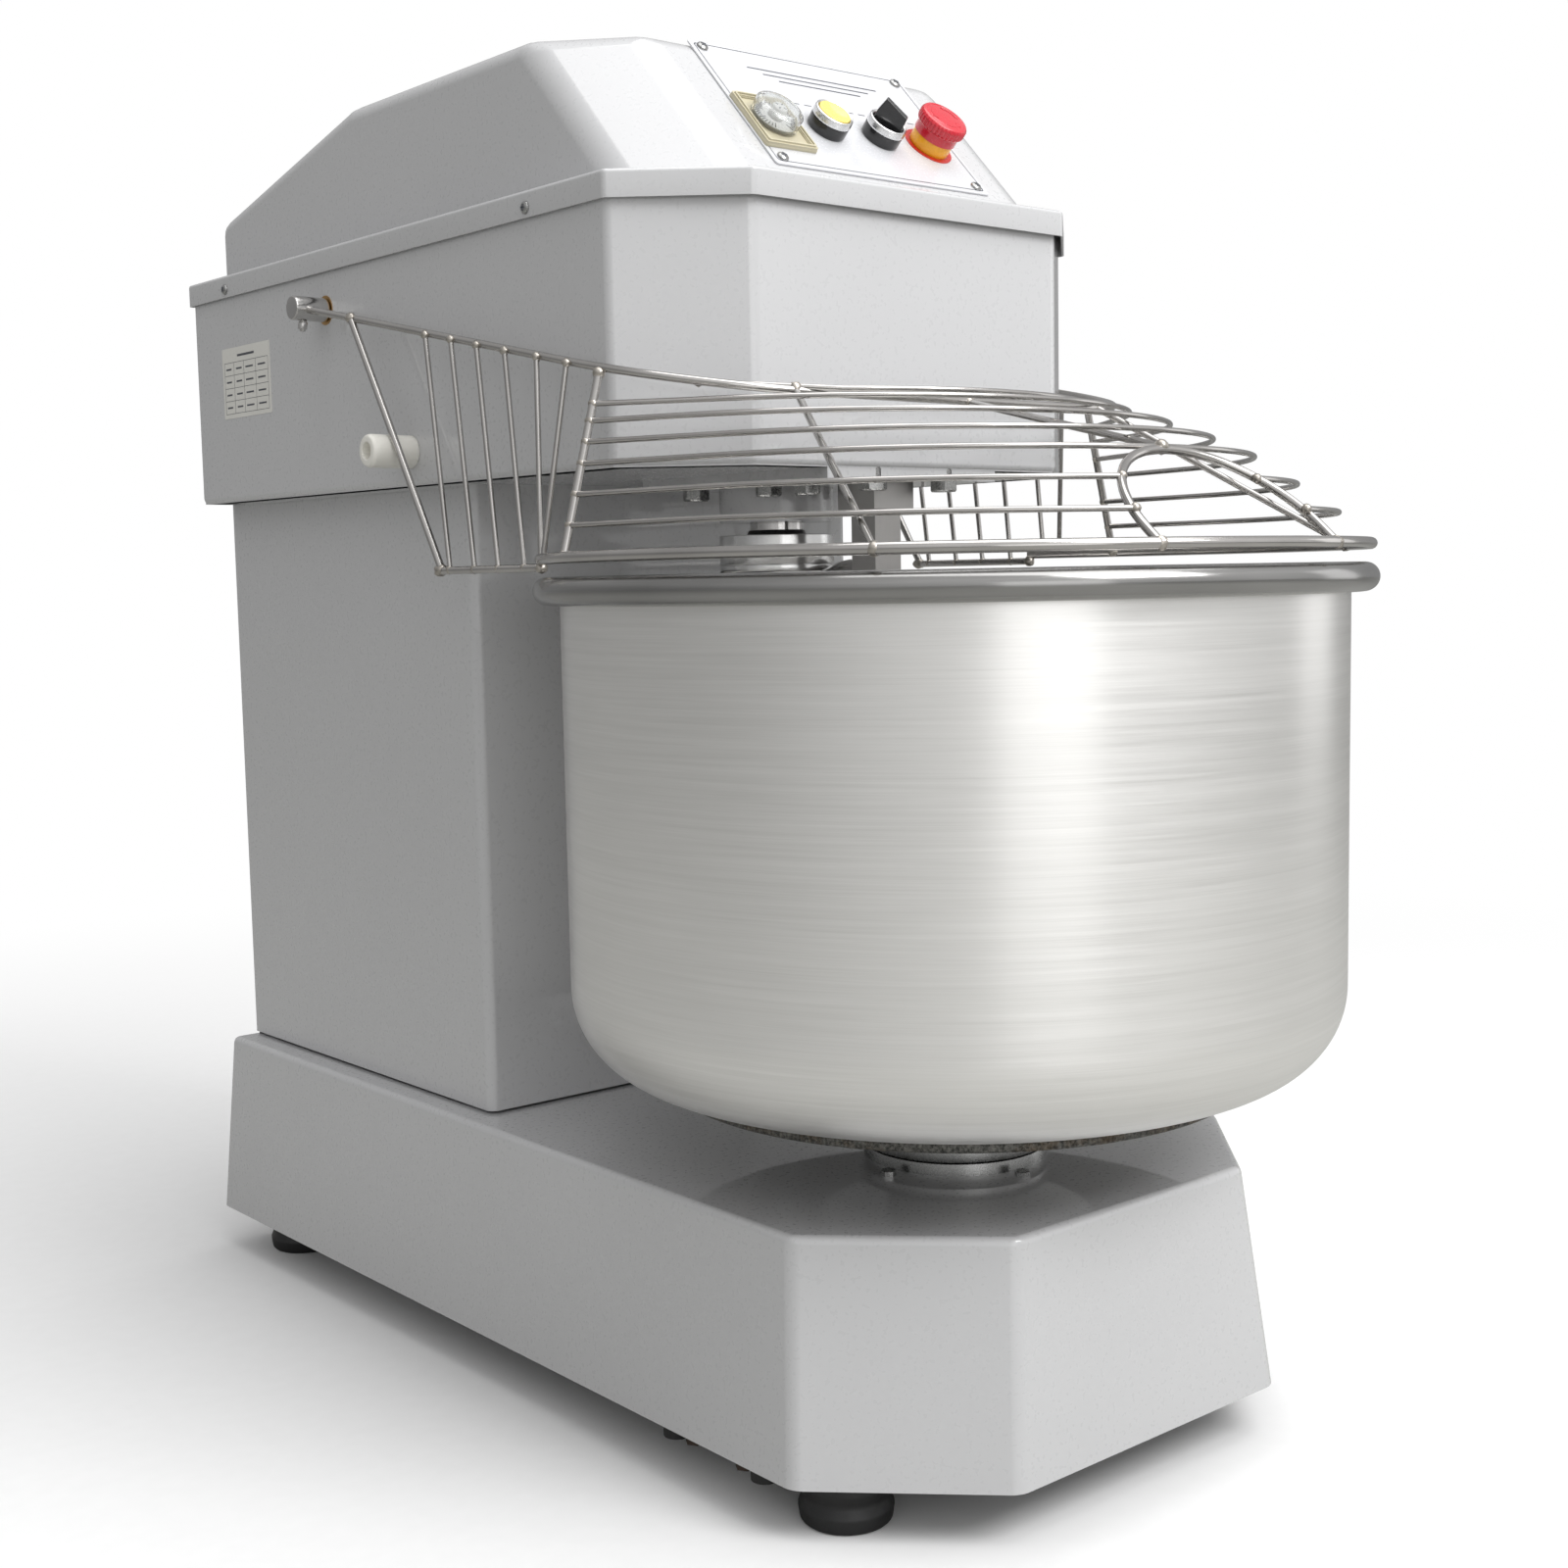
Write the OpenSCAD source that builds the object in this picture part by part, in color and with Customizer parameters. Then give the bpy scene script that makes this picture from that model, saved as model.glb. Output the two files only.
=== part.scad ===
// Spiral dough mixer with a rotating bowl.
// Millimetres, +Z up, bowl towards -Y, floor at Z = 0, symmetric about X = 0.

/* [Bowl] */
// Outer diameter over the rolled rim
rim_d = 600; // [590:1:604]
// Diameter of the rolled rim bead
bead_d = 20; // [16:1:22]
// Height of the rim centre above the floor
rim_z = 620; // [616:1:624]
// Outside of the bowl floor above the floor of the room
bowl_z = 267; // [267:1:272]
// Thickness of the bowl wall
bowl_t = 2; // [1.5:0.5:3]
// Outer radius of the rounded bottom corner
bowl_corner = 68; // [60:1:74]

/* [Base] */
// Width of the base at its top edge
base_w = 442; // [440:1:444]
// How far each face leans out towards the floor
base_flare = 16; // [12:1:20]
// Size of the corner chamfers in plan
base_chamfer = 105; // [100:1:108]
// Underside of the base
base_z0 = 38; // [38:1:38]
// Top face of the base
base_z1 = 200; // [200:1:200]
// Diameter of the rubber feet
foot_d = 65; // [60:1:68]

/* [Column] */
// Width of the column
column_w = 395; // [393:1:397]
// Front face of the column
column_front = 102; // [102:1:103]
// Radius of the bent sheet corners
bend_r = 8; // [5:1:10]

/* [Head] */
// Width of the head
head_w = 454; // [452:1:455]
// Front face of the head
head_front = -194.5; // [-194.5:0.5:-193]
// Underside of the head
head_z0 = 704; // [704:1:704]
// Width over the skirt of the top cover
skirt_w = 461; // [460:1:463]
// Lower edge of the skirt
skirt_z0 = 884; // [882:1:886]
// Deck of the top cover
deck_z = 903.5; // [903.5:0.5:904]
// Top of the hood
hood_z = 1019.5; // [1016:0.5:1022]
// Width of the hood
hood_w = 406; // [404:1:408]

/* [Guard] */
// Diameter of the guard ring
ring_wire = 8; // [7:0.5:9]
// Diameter of the arms and struts
arm_wire = 6; // [5:0.5:7]
// Diameter of the cage wires
cage_wire = 4; // [3.5:0.5:5]

/* [Tools] */
// Diameter of the spiral rod
hook_d = 32; // [28:1:34]
// Radius of the spiral's centre line
hook_r = 62; // [56:1:64]
// Side of the square breaker bar
bar_s = 26; // [24:1:28]

/* [Hidden] */
$fn = 48;

// Shaft axes, all on the plane X = 0
bowl_y = -227;
spiral_y = -34;
bar_y = -150;
jack_y = 40;
lay_y = 200;
motor_y = 395;

// Levels of the drive
base_chain_z = 96;
lay_chain_z = 140;
belt_z = 736;
spiral_chain_z = 812;

// Outlines
base_front = -400.5;
base_rear = 527;
column_rear = 522;
head_rear = 523;
head_chamfer = [77, 65];
skirt_front = -200.5;
skirt_rear = 525;
skirt_chamfer = [77, 68];
sheet = 2;
clear = 0.05;

// Guard pivot and slope of the arms
pivot = [269.8, 853.5];
arm_x = 247;
arm_tilt = 11.5;
bumper_at = [139, 730];
ring_r = 294;
ring_z = 642.5;

// Control panel: origin on the hood's front plane, tilted back
panel_tilt = 46.5;
panel_origin = [0, -164.7, 913.4];
controls_v = 56;
timer_v = 52;
timer_u = -78;
start_u = -24;
selector_u = 30;
estop_u = 81.5;

// ---------- helpers ----------

// Outward normal of an edge of a counter-clockwise outline
function edge_normal(a, b) = let (d = (b - a) / norm(b - a)) [d[1], -d[0]];

// A convex outline drawn in by t
function inset(p, t) = [
  for (i = [0:len(p) - 1])
    let (
      a = p[(i + len(p) - 1) % len(p)],
      b = p[i],
      c = p[(i + 1) % len(p)],
      m = edge_normal(a, b),
      n = edge_normal(b, c)
    )
    b - t * (m + n) / (1 + m * n)
];

// Plan of a body with two chamfered front corners
function plan(hw, front, rear, ch) = [
  [hw, rear], [-hw, rear], [-hw, front + ch[1]],
  [-hw + ch[0], front], [hw - ch[0], front], [hw, front + ch[1]]
];

function polar(r, a) = [r * cos(a), r * sin(a)];

// Sprocket outline: teeth with straight flanks
function sprocket_pts(n, pitch) = let (
    rp = pitch / 2 / sin(180 / n),
    tip = rp + 0.3 * pitch,
    root = rp - 0.31 * pitch,
    s = 360 / n
  ) [
    for (i = [0:n - 1])
      for (q = [[root, 0.12], [tip, 0.38], [tip, 0.62], [root, 0.88]])
        polar(q[0], (i + q[1]) * s)
  ];

// Closed run of a belt round two shafts on X = 0, y2 > y1
function loop_pts(y1, r1, y2, r2) = let (
    g = asin((r1 - r2) / (y2 - y1)),
    step = (180 + 2 * g) / 36,
    step2 = (180 - 2 * g) / 24
  ) concat(
    [for (i = [0:36]) [0, y1] + polar(r1, 180 - g + i * step)],
    [for (i = [0:24]) [0, y2] + polar(r2, g + i * step2)]
  );

module band(y1, r1, y2, r2, t, h) {
  linear_extrude(h)
    difference() {
      polygon(loop_pts(y1, r1 + t / 2, y2, r2 + t / 2));
      polygon(loop_pts(y1, r1 - t / 2, y2, r2 - t / 2));
    }
}

module tube(od, id, h) {
  difference() {
    cylinder(d = od, h = h);
    translate([0, 0, -1]) cylinder(d = id, h = h + 2);
  }
}

module rod(a, b, d) {
  v = b - a;
  l = norm(v);
  translate(a)
    rotate([0, acos(v[2] / l), atan2(v[1], v[0])])
      cylinder(d = d, h = l, $fn = 24);
}

// Level arc of round wire
module arc_wire(y, r, z, a0, a1, d) {
  translate([0, y, z])
    rotate([0, 0, a0])
      rotate_extrude(angle = a1 - a0, $fn = 96)
        translate([r, 0]) circle(d = d, $fn = 24);
}

module hex_bolt(d, af, head, length) {
  cylinder(d = af / cos(30), h = head, $fn = 6);
  translate([0, 0, head - 0.01]) cylinder(d = d, h = length);
}

module both_sides() {
  children();
  mirror([1, 0, 0]) children();
}

module on_panel(u, v = controls_v) {
  translate(panel_origin) rotate([panel_tilt, 0, 0]) translate([u, v, 0]) children();
}

// Points in the square of side s round an axis at y
function square_at(y, s) = [for (i = [-1, 1]) for (j = [-1, 1]) [i * s / 2, y + j * s / 2]];

// ---------- base ----------

module base_solid(t, z0, z1) {
  drop = base_z1 - base_z0;
  function at(z) = inset(
    plan(base_w / 2, base_front, base_rear + base_flare, [base_chamfer, base_chamfer]),
    t - base_flare * (base_z1 - z) / drop
  );
  intersection() {
    hull() {
      translate([0, 0, z0]) linear_extrude(0.01) polygon(at(z0));
      translate([0, 0, z1 - 0.01]) linear_extrude(0.01) polygon(at(z1));
    }
    translate([-400, -600, 0]) cube([800, 600 + base_rear - t, 400]);
  }
}

housing_bolts = [for (i = [0:4]) [0, bowl_y] + polar(81, 45 + 72 * i)];

module base_shell() {
  color("whitesmoke")
    difference() {
      base_solid(0, base_z0, base_z1);
      base_solid(3, base_z0 - 1, base_z1 - 3);
      translate([0, bowl_y, 0]) cylinder(d = 132, h = 300);
      translate([0, lay_y, 0]) cylinder(d = 70, h = 300);
      for (p = housing_bolts) translate(p) cylinder(d = 7, h = 300);
    }
}

foot_at = [[181, -302], [-181, -302], [181, 470], [-181, 470]];
crossbeam_y = -206;
beam_bolts = [for (x = [-212, 212]) for (y = [-28, 28]) [x, crossbeam_y + y]];

module base_frame() {
  color("dimgray")
    difference() {
      union() {
        for (x = [-216, 178]) {
          translate([x, -295, 125]) cube([38, 800, 60]);
          for (y = [-295, -242, 450]) translate([x, y, 46]) cube([38, 40, 80]);
        }
        for (p = foot_at) translate([p[0], p[1], 38]) cylinder(d = 69, h = 9);
        intersection() {
          base_solid(3.5, 185, 197);
          translate([-300, -600, 185]) cube([600, 540, 12]);
        }
        for (y = [-10, 150]) translate([-180, y, 173]) cube([360, 100, 12]);
        translate([-180, 465, 125]) cube([360, 40, 60]);
        translate([-228, crossbeam_y - 60, 38]) cube([456, 120, 10]);
      }
      translate([0, bowl_y, 0]) cylinder(d = 132, h = 300);
      for (p = housing_bolts) translate(p) cylinder(d = 7, h = 300);
      for (y = [jack_y, lay_y]) translate([0, y, 150]) cylinder(d = 44, h = 100);
      for (p = beam_bolts) translate([p[0], p[1], 30]) cylinder(d = 9, h = 30);
    }
}

module rubber_feet() {
  color("black")
    for (p = foot_at)
      translate([p[0], p[1], 0])
        rotate_extrude()
          polygon([
            [0, 0], [foot_d / 2 - 3, 0], [foot_d / 2, 3], [foot_d / 2, 10],
            [foot_d / 2 - 2.5, 19], [foot_d / 2, 28], [foot_d / 2, 35],
            [foot_d / 2 - 3, 38], [0, 38]
          ]);
}

module crossbeam() {
  color("gray")
    difference() {
      translate([-228, crossbeam_y - 60, 34]) cube([456, 120, 4]);
      for (p = beam_bolts) translate([p[0], p[1], 30]) cylinder(d = 9, h = 30);
    }
}

module crossbeam_buffers() {
  color("black")
    for (x = [-212, 212])
      for (y = [-49, 49])
        translate([x, crossbeam_y + y, 20]) cylinder(d = 20, h = 14);
}

module crossbeam_bolts() {
  color("sienna")
    for (p = beam_bolts)
      translate([p[0], p[1], 21]) {
        hex_bolt(8, 13, 6, 24);
        translate([0, 0, 6]) tube(15, 8.2, 3);
        translate([0, 0, 9]) tube(19, 8.2, 4);
      }
}

// ---------- bowl bearing ----------

module bowl_housing() {
  color("slategray")
    translate([0, bowl_y, 0])
      difference() {
        union() {
          translate([0, 0, 122]) cylinder(d = 130, h = 78);
          translate([0, 0, 173]) cylinder(d = 190, h = 12);
        }
        translate([0, 0, 121]) cylinder(d = 70, h = 90);
        translate([0, 0, 121]) cylinder(d = 95, h = 19);
        translate([0, 0, 178]) cylinder(d = 95, h = 23);
        for (p = housing_bolts) translate([p[0], p[1] - bowl_y, 160]) cylinder(d = 7, h = 40);
      }
}

module bowl_bearings() {
  color("silver")
    for (z = [122, 180])
      translate([0, bowl_y, z]) tube(95 - 2 * clear, 60 + 2 * clear, 18);
}

module bowl_seal_ring() {
  color("silver")
    translate([0, bowl_y, base_z1])
      difference() {
        cylinder(d = 136.5, h = 8.7);
        translate([0, 0, -1]) cylinder(d = 62, h = 13);
      }
}

// ---------- column ----------

// Plan of the column with bent front corners
module column_plan(t) {
  hw = column_w / 2 - t;
  r = bend_r - min(t, bend_r - 1);
  translate([-hw, column_front + t + r]) square([2 * hw, column_rear - column_front - t - r]);
  translate([-hw + r, column_front + t]) square([2 * (hw - r), 40]);
  for (x = [-hw + r, hw - r]) translate([x, column_front + t + r]) circle(r = r);
}

module column_shell() {
  color("whitesmoke")
    difference() {
      translate([0, 0, base_z1 + 2]) linear_extrude(head_z0 - base_z1 - 2) column_plan(0);
      translate([0, 0, base_z1])
        linear_extrude(head_z0 - base_z1 + 2) {
          column_plan(sheet);
          translate([-column_w / 2 + sheet, column_rear - 60]) square([column_w - 2 * sheet, 70]);
        }
      translate([column_w / 2 - 5, 460, 270]) rotate([0, 90, 0]) cylinder(d = 20.5, h = 10);
    }
}

rear_screws = [for (x = [-175, 175]) for (z = [225, 450, 675]) [x, z]];

module column_frame() {
  color("dimgray")
    difference() {
      union() {
        for (x = [-195, 155])
          for (y = [112, 482])
            translate([x, y, base_z1])
              difference() {
                cube([40, 40, head_z0 - base_z1]);
                translate([3, 3, -1]) cube([34, 34, head_z0]);
              }
        for (x = [-195, 175]) translate([x, 152, 420]) cube([20, 330, 30]);
      }
      for (p = rear_screws)
        translate([p[0], 515, p[1]]) rotate([-90, 0, 0]) cylinder(d = 5.4, h = 10);
    }
}

module rear_cover() {
  color("whitesmoke")
    difference() {
      translate([-196, column_rear, 203]) cube([392, 2, 498]);
      for (i = [0:6])
        translate([-70, column_rear - 1, 300 + 16 * i]) cube([140, 4, 6]);
      for (p = rear_screws)
        translate([p[0], column_rear - 1, p[1]]) rotate([-90, 0, 0]) cylinder(d = 5.4, h = 4);
    }
}

module cable_gland() {
  color("dimgray")
    translate([column_w / 2, 460, 270])
      rotate([0, 90, 0])
        difference() {
          union() {
            translate([0, 0, -12]) cylinder(d = 20, h = 20);
            cylinder(d = 28, h = 6, $fn = 6);
            translate([0, 0, 6]) cylinder(d1 = 24, d2 = 20, h = 12);
            translate([0, 0, -8]) cylinder(d = 28, h = 6, $fn = 6);
          }
          translate([0, 0, -13]) cylinder(d = 12, h = 40);
        }
}

// ---------- head ----------

function head_plan(t) = inset(plan(head_w / 2, head_front, head_rear, head_chamfer), t);

cover_screw_y = [448, -38];

module head_shell() {
  color("whitesmoke")
    difference() {
      translate([0, 0, head_z0]) linear_extrude(deck_z - head_z0 - 3) polygon(head_plan(0));
      translate([0, 0, head_z0 - 1]) linear_extrude(deck_z - head_z0) polygon(head_plan(sheet));
      translate([-300, pivot[0], pivot[1]]) rotate([0, 90, 0]) cylinder(d = 24.4, h = 600);
      for (y = cover_screw_y)
        translate([-300, y, 891]) rotate([0, 90, 0]) cylinder(d = 5.4, h = 600);
      translate([-300, bumper_at[0], bumper_at[1]]) rotate([0, 90, 0]) cylinder(d = 8.4, h = 600);
    }
}

spiral_bolts = square_at(spiral_y, 90);
bar_bolts = square_at(bar_y, 72);
motor_bolts = square_at(motor_y, 152);

module head_floor() {
  color("gainsboro")
    difference() {
      translate([0, 0, head_z0]) linear_extrude(10) polygon(head_plan(sheet + 0.2));
      translate([0, spiral_y, head_z0 - 1]) cylinder(d = 109, h = 20);
      translate([0, lay_y, head_z0 - 1]) cylinder(d = 44, h = 20);
      translate([0, motor_y, head_z0 - 1]) cylinder(d = 60, h = 20);
      for (p = concat(spiral_bolts, bar_bolts, motor_bolts))
        translate([p[0], p[1], head_z0 - 1]) cylinder(d = 13, h = 20);
      translate([-bar_s / 2 - 0.2, bar_y - bar_s / 2 - 0.2, head_z0 - 1])
        cube([bar_s + 0.4, bar_s + 0.4, 20]);
    }
}

// Solid of the hood, drawn in by t
module hood_solid(t) {
  rise = hood_z - deck_z;
  profile = [
    [-174, deck_z], [512, deck_z], [512, deck_z + 56.5],
    [262, hood_z], [-174 + rise / tan(panel_tilt), hood_z]
  ];
  p = inset(profile, t);
  floor_z = deck_z - 4;
  q = [
    [p[0][0] - (p[0][1] - floor_z) / tan(panel_tilt), floor_z],
    [p[1][0], floor_z], p[2], p[3], p[4]
  ];
  difference() {
    translate([-hood_w / 2 + t, 0, 0])
      rotate([90, 0, 90]) linear_extrude(hood_w - 2 * t) polygon(q);
    for (m = [0, 1])
      mirror([m, 0, 0])
        translate([143, -174 + rise / tan(panel_tilt), hood_z])
          rotate([0, 57, -43.1])
            translate([-400, -400, -t]) cube([800, 800, 200]);
  }
}

module top_cover() {
  color("whitesmoke")
    difference() {
      union() {
        translate([0, 0, skirt_z0])
          linear_extrude(deck_z - skirt_z0)
            polygon(plan(skirt_w / 2, skirt_front, skirt_rear, skirt_chamfer));
        hood_solid(0);
      }
      translate([0, 0, skirt_z0 - 30])
        linear_extrude(deck_z - skirt_z0 + 28)
          polygon(inset(plan(skirt_w / 2, skirt_front, skirt_rear, skirt_chamfer), sheet));
      hood_solid(sheet);
      for (u = [start_u, selector_u, estop_u])
        on_panel(u) translate([0, 0, -10]) cylinder(d = 22.6, h = 20);
      on_panel(timer_u, timer_v) translate([-22.5, -22.5, -10]) cube([45, 45, 20]);
      panel_screw_places() translate([0, 0, -10]) cylinder(d = 5.4, h = 20);
      for (y = cover_screw_y)
        translate([-300, y, 891]) rotate([0, 90, 0]) cylinder(d = 5.4, h = 600);
    }
}

plate_u = [-103, 111];
plate_v = [2, 147];

module panel_screw_places() {
  for (u = [plate_u[0] + 10, plate_u[1] - 10])
    for (v = [plate_v[0] + 8, plate_v[1] - 8])
      on_panel(u, v) children();
}

module control_plate() {
  color("lightgray")
    difference() {
      on_panel(plate_u[0], plate_v[0])
        cube([plate_u[1] - plate_u[0], plate_v[1] - plate_v[0], 1.5]);
      for (u = [start_u, selector_u, estop_u])
        on_panel(u) translate([0, 0, -10]) cylinder(d = 22.6, h = 20);
      on_panel(timer_u, timer_v) translate([-22.5, -22.5, -10]) cube([45, 45, 20]);
      panel_screw_places() translate([0, 0, -10]) cylinder(d = 5.4, h = 20);
    }
}

module pan_screw() {
  rotate_extrude() polygon([[0, 0], [4.6, 0], [4.2, 1.6], [2.5, 2.6], [0, 2.8]]);
  translate([0, 0, -8]) cylinder(d = 5, h = 8.01);
}

module sheet_screws() {
  color("silver") {
    panel_screw_places() translate([0, 0, 1.5]) pan_screw();
    both_sides()
      for (y = cover_screw_y)
        translate([skirt_w / 2, y, 891]) rotate([0, 90, 0]) pan_screw();
    for (p = rear_screws)
      translate([p[0], column_rear + 2, p[1]]) rotate([-90, 0, 0]) pan_screw();
  }
}

module rating_label() {
  color("white")
    translate([-head_w / 2 - 0.4, 374, 778]) cube([0.4, 93, 62]);
}

// ---------- controls ----------

module timer_body() {
  color("beige")
    on_panel(timer_u, timer_v)
      difference() {
        union() {
          translate([-24, -31, 1.5]) cube([48, 59, 5.5]);
          translate([-22.3, -22.3, -58]) cube([44.6, 44.6, 60]);
        }
        translate([-20, -26.5, 3.2]) cube([40, 50, 10]);
        translate([0, 0, -20]) cylinder(d = 6.2, h = 40);
      }
}

module timer_dial() {
  color("ivory")
    on_panel(timer_u, timer_v) {
      translate([0, 0, 5])
        rotate_extrude()
          polygon([[0, 0], [19, 0], [19, 10], [18, 11.6], [16, 12.2], [0, 12.6]]);
      translate([0, 0, -12]) cylinder(d = 6, h = 18);
    }
}

// Black bases, necks and contact blocks of the push button and the selector
module operator_bases() {
  color("black")
    for (u = [start_u, selector_u])
      on_panel(u)
        difference() {
          union() {
            translate([0, 0, 1.5]) cylinder(d = 31, h = 9.5);
            translate([0, 0, -12]) cylinder(d = 22, h = 14);
            translate([-15, -20, -52]) cube([30, 40, 40]);
          }
          translate([0, 0, -24]) cylinder(d = 14.4, h = 40);
          translate([0, 0, 7.4]) cylinder(d = 26.2, h = 10);
        }
}

module operator_bezels() {
  color("silver")
    for (u = [start_u, selector_u])
      on_panel(u) translate([0, 0, 11]) tube(31.6, 26.2, 6);
}

module start_button() {
  color("gold")
    on_panel(start_u)
      difference() {
        union() {
          translate([0, 0, 12.4]) cylinder(d = 25.4, h = 5);
          translate([0, 0, -14]) cylinder(d = 13.6, h = 27);
        }
        translate([0, 0, 53.4]) sphere(r = 38);
      }
}

module selector_knob() {
  color("black")
    on_panel(selector_u)
      rotate([0, 0, 135]) {
        translate([0, 0, 9]) cylinder(d = 25.4, h = 5);
        rotate([90, 0, 0])
          translate([0, 0, -4.5])
            linear_extrude(9)
              polygon([[-11.8, 13], [11.8, 13], [11.8, 21], [9.5, 32], [-11.2, 26.5]]);
        translate([0, 0, -14]) cylinder(d = 13.6, h = 24);
      }
}

module estop_label() {
  color("red")
    on_panel(estop_u) translate([0, 0, 1.5]) tube(41.5, 33.4, 0.7);
}

module estop_collar() {
  color("orange")
    on_panel(estop_u)
      difference() {
        union() {
          translate([0, 0, 1.5]) cylinder(d = 33, h = 11);
          translate([0, 0, -12]) cylinder(d = 22, h = 14);
          translate([-15, -20, -52]) cube([30, 40, 40]);
        }
        translate([0, 0, -30]) cylinder(d = 16.6, h = 50);
      }
}

module estop_stem() {
  color("firebrick")
    on_panel(estop_u)
      difference() {
        translate([0, 0, -20]) cylinder(d = 16, h = 45);
        translate([0, 0, 12]) cylinder(d = 8.2, h = 20);
      }
}

// Knurled rim and crown above a skirt that slides over the collar
module estop_head() {
  color("red")
    on_panel(estop_u) {
      difference() {
        rotate_extrude()
          polygon([
            [0, 18.6], [16.85, 18.6], [16.85, 11.8], [17.6, 11.8], [17.6, 19], [20, 20.4],
            [20, 26], [18.5, 28.2], [13, 29.4], [0, 29.9]
          ]);
        translate([0, 0, 18]) cylinder(d = 16.6, h = 7.4);
        for (i = [0:23])
          rotate([0, 0, 15 * i]) translate([20.6, 0, 19]) cylinder(d = 2.4, h = 12);
      }
      translate([0, 0, 16]) cylinder(d = 8, h = 10);
    }
}

// ---------- spiral, breaker bar ----------

module tool_plate() {
  color("gainsboro")
    difference() {
      translate([-85, -192, 696]) cube([170, 220, 8]);
      translate([0, spiral_y, 690]) cylinder(d = 91, h = 20);
      translate([-bar_s / 2 - 0.2, bar_y - bar_s / 2 - 0.2, 690])
        cube([bar_s + 0.4, bar_s + 0.4, 20]);
      for (p = concat(spiral_bolts, bar_bolts)) translate([p[0], p[1], 690]) cylinder(d = 13, h = 20);
    }
}

module spiral_housing() {
  color("white")
    translate([0, spiral_y, 0])
      difference() {
        union() {
          translate([0, 0, 670]) cylinder(d = 90, h = 40);
          translate([0, 0, 704]) cylinder(d = 108, h = 87);
          translate([-65, -65, 714]) cube([130, 130, 12]);
        }
        translate([0, 0, 669]) cylinder(d = 46, h = 60);
        translate([0, 0, 708]) cylinder(d = 90, h = 84);
        for (p = spiral_bolts) translate([p[0], p[1] - spiral_y, 700]) cylinder(d = 13, h = 40);
      }
}

module spiral_bearings() {
  color("silver")
    for (z = [708, 771])
      translate([0, spiral_y, z]) tube(90 - 2 * clear, 42 + 2 * clear, 20);
}

module spiral_shaft() {
  color("silver")
    translate([0, spiral_y, 660]) cylinder(d = 42, h = 168);
}

module spiral_flange() {
  color("silver")
    translate([0, spiral_y, 0])
      difference() {
        union() {
          translate([0, 0, 631]) cylinder(d = 90.4, h = 5.5);
          translate([0, 0, 636]) cylinder(d = 87, h = 2);
          translate([0, 0, 637]) cylinder(d = 91, h = 23);
          translate([0, 0, 659.9]) cylinder(d1 = 48, d2 = 44.5, h = 4.2);
        }
        translate([0, 0, 660]) cylinder(d = 42 + 2 * clear, h = 10);
      }
}

module spiral_sprocket() {
  color("dimgray")
    translate([0, spiral_y, spiral_chain_z])
      difference() {
        union() {
          translate([0, 0, -4]) linear_extrude(8) polygon(sprocket_pts(41, 19.05));
          translate([0, 0, -16]) cylinder(d = 72, h = 12.5);
        }
        translate([0, 0, -20]) cylinder(d = 42 + 2 * clear, h = 40);
      }
}

// Centre line of the spiral: shoulder, helix, then a scroll above the bowl's floor
hook_top = 624;
hook_arm = 612;
hook_low = 333;
function hook_at(t) =
  t < 0.15 ? let (u = t / 0.15) [8 + (hook_r - 8) * sin(90 * u), 150 + 100 * u, hook_arm]
  : t < 0.23 ? let (u = (t - 0.15) / 0.08)
    [hook_r, 250 + 48 * u, (hook_arm + hook_top) / 2 - (hook_top - hook_arm) / 2 * cos(180 * u)]
  : t < 0.82 ? let (u = (t - 0.23) / 0.59)
    [hook_r, 298 + 352 * u, hook_top + (hook_low - hook_top) * pow(u, 1.4)]
  : let (u = (t - 0.82) / 0.18)
    [hook_r - 42 + 42 * cos(80 * u), 650 + 105 * u, hook_low - 42 * sin(80 * u)];
function hook_pt(t) = let (p = hook_at(t)) [p[0] * cos(p[1]), p[0] * sin(p[1]), p[2]];

module swept_hook(n, m) {
  r = hook_d / 2;
  pts = [
    for (i = [0:n])
      let (
        t = i / n,
        c = hook_pt(t),
        d = hook_pt(min(1, t + 0.004)) - hook_pt(max(0, t - 0.004)),
        w = d / norm(d),
        h = cross([0, 0, 1], w),
        a = h / norm(h),
        b = cross(w, a)
      )
      for (j = [0:m - 1]) c + r * (cos(360 * j / m) * a + sin(360 * j / m) * b)
  ];
  sides = [
    for (i = [0:n - 1])
      for (j = [0:m - 1])
        let (k = (j + 1) % m)
        for (f = [
          [i * m + j, (i + 1) * m + k, i * m + k],
          [i * m + j, (i + 1) * m + j, (i + 1) * m + k]
        ]) f
  ];
  ends = [[for (j = [0:m - 1]) j], [for (j = [m - 1:-1:0]) n * m + j]];
  polyhedron(pts, concat(sides, ends), convexity = 6);
}

module spiral_hook() {
  color("silver")
    translate([0, spiral_y, 0]) {
      swept_hook(90, 20);
      translate([0, 0, 588]) cylinder(d = 52, h = 43);
    }
}

module breaker_bar() {
  color("silver")
    translate([0, bar_y, 0]) {
      translate([-bar_s / 2, -bar_s / 2, 286]) cube([bar_s, bar_s, 434]);
      translate([-20, -20, 676]) cube([40, 40, 20]);
    }
}

module hex_bolts() {
  color("silver") {
    for (p = housing_bolts)
      translate([p[0], p[1], base_z1 + 4]) rotate([180, 0, 0]) hex_bolt(6, 10, 4, 35);
    for (p = concat(spiral_bolts, bar_bolts)) translate([p[0], p[1], 688]) hex_bolt(12, 19, 8, 35);
    for (p = motor_bolts)
      translate([p[0], p[1], 722]) rotate([180, 0, 0]) hex_bolt(12, 19, 8, 30);
  }
}

// ---------- bowl ----------

wall_r = rim_d / 2 - bead_d + 1;

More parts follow.
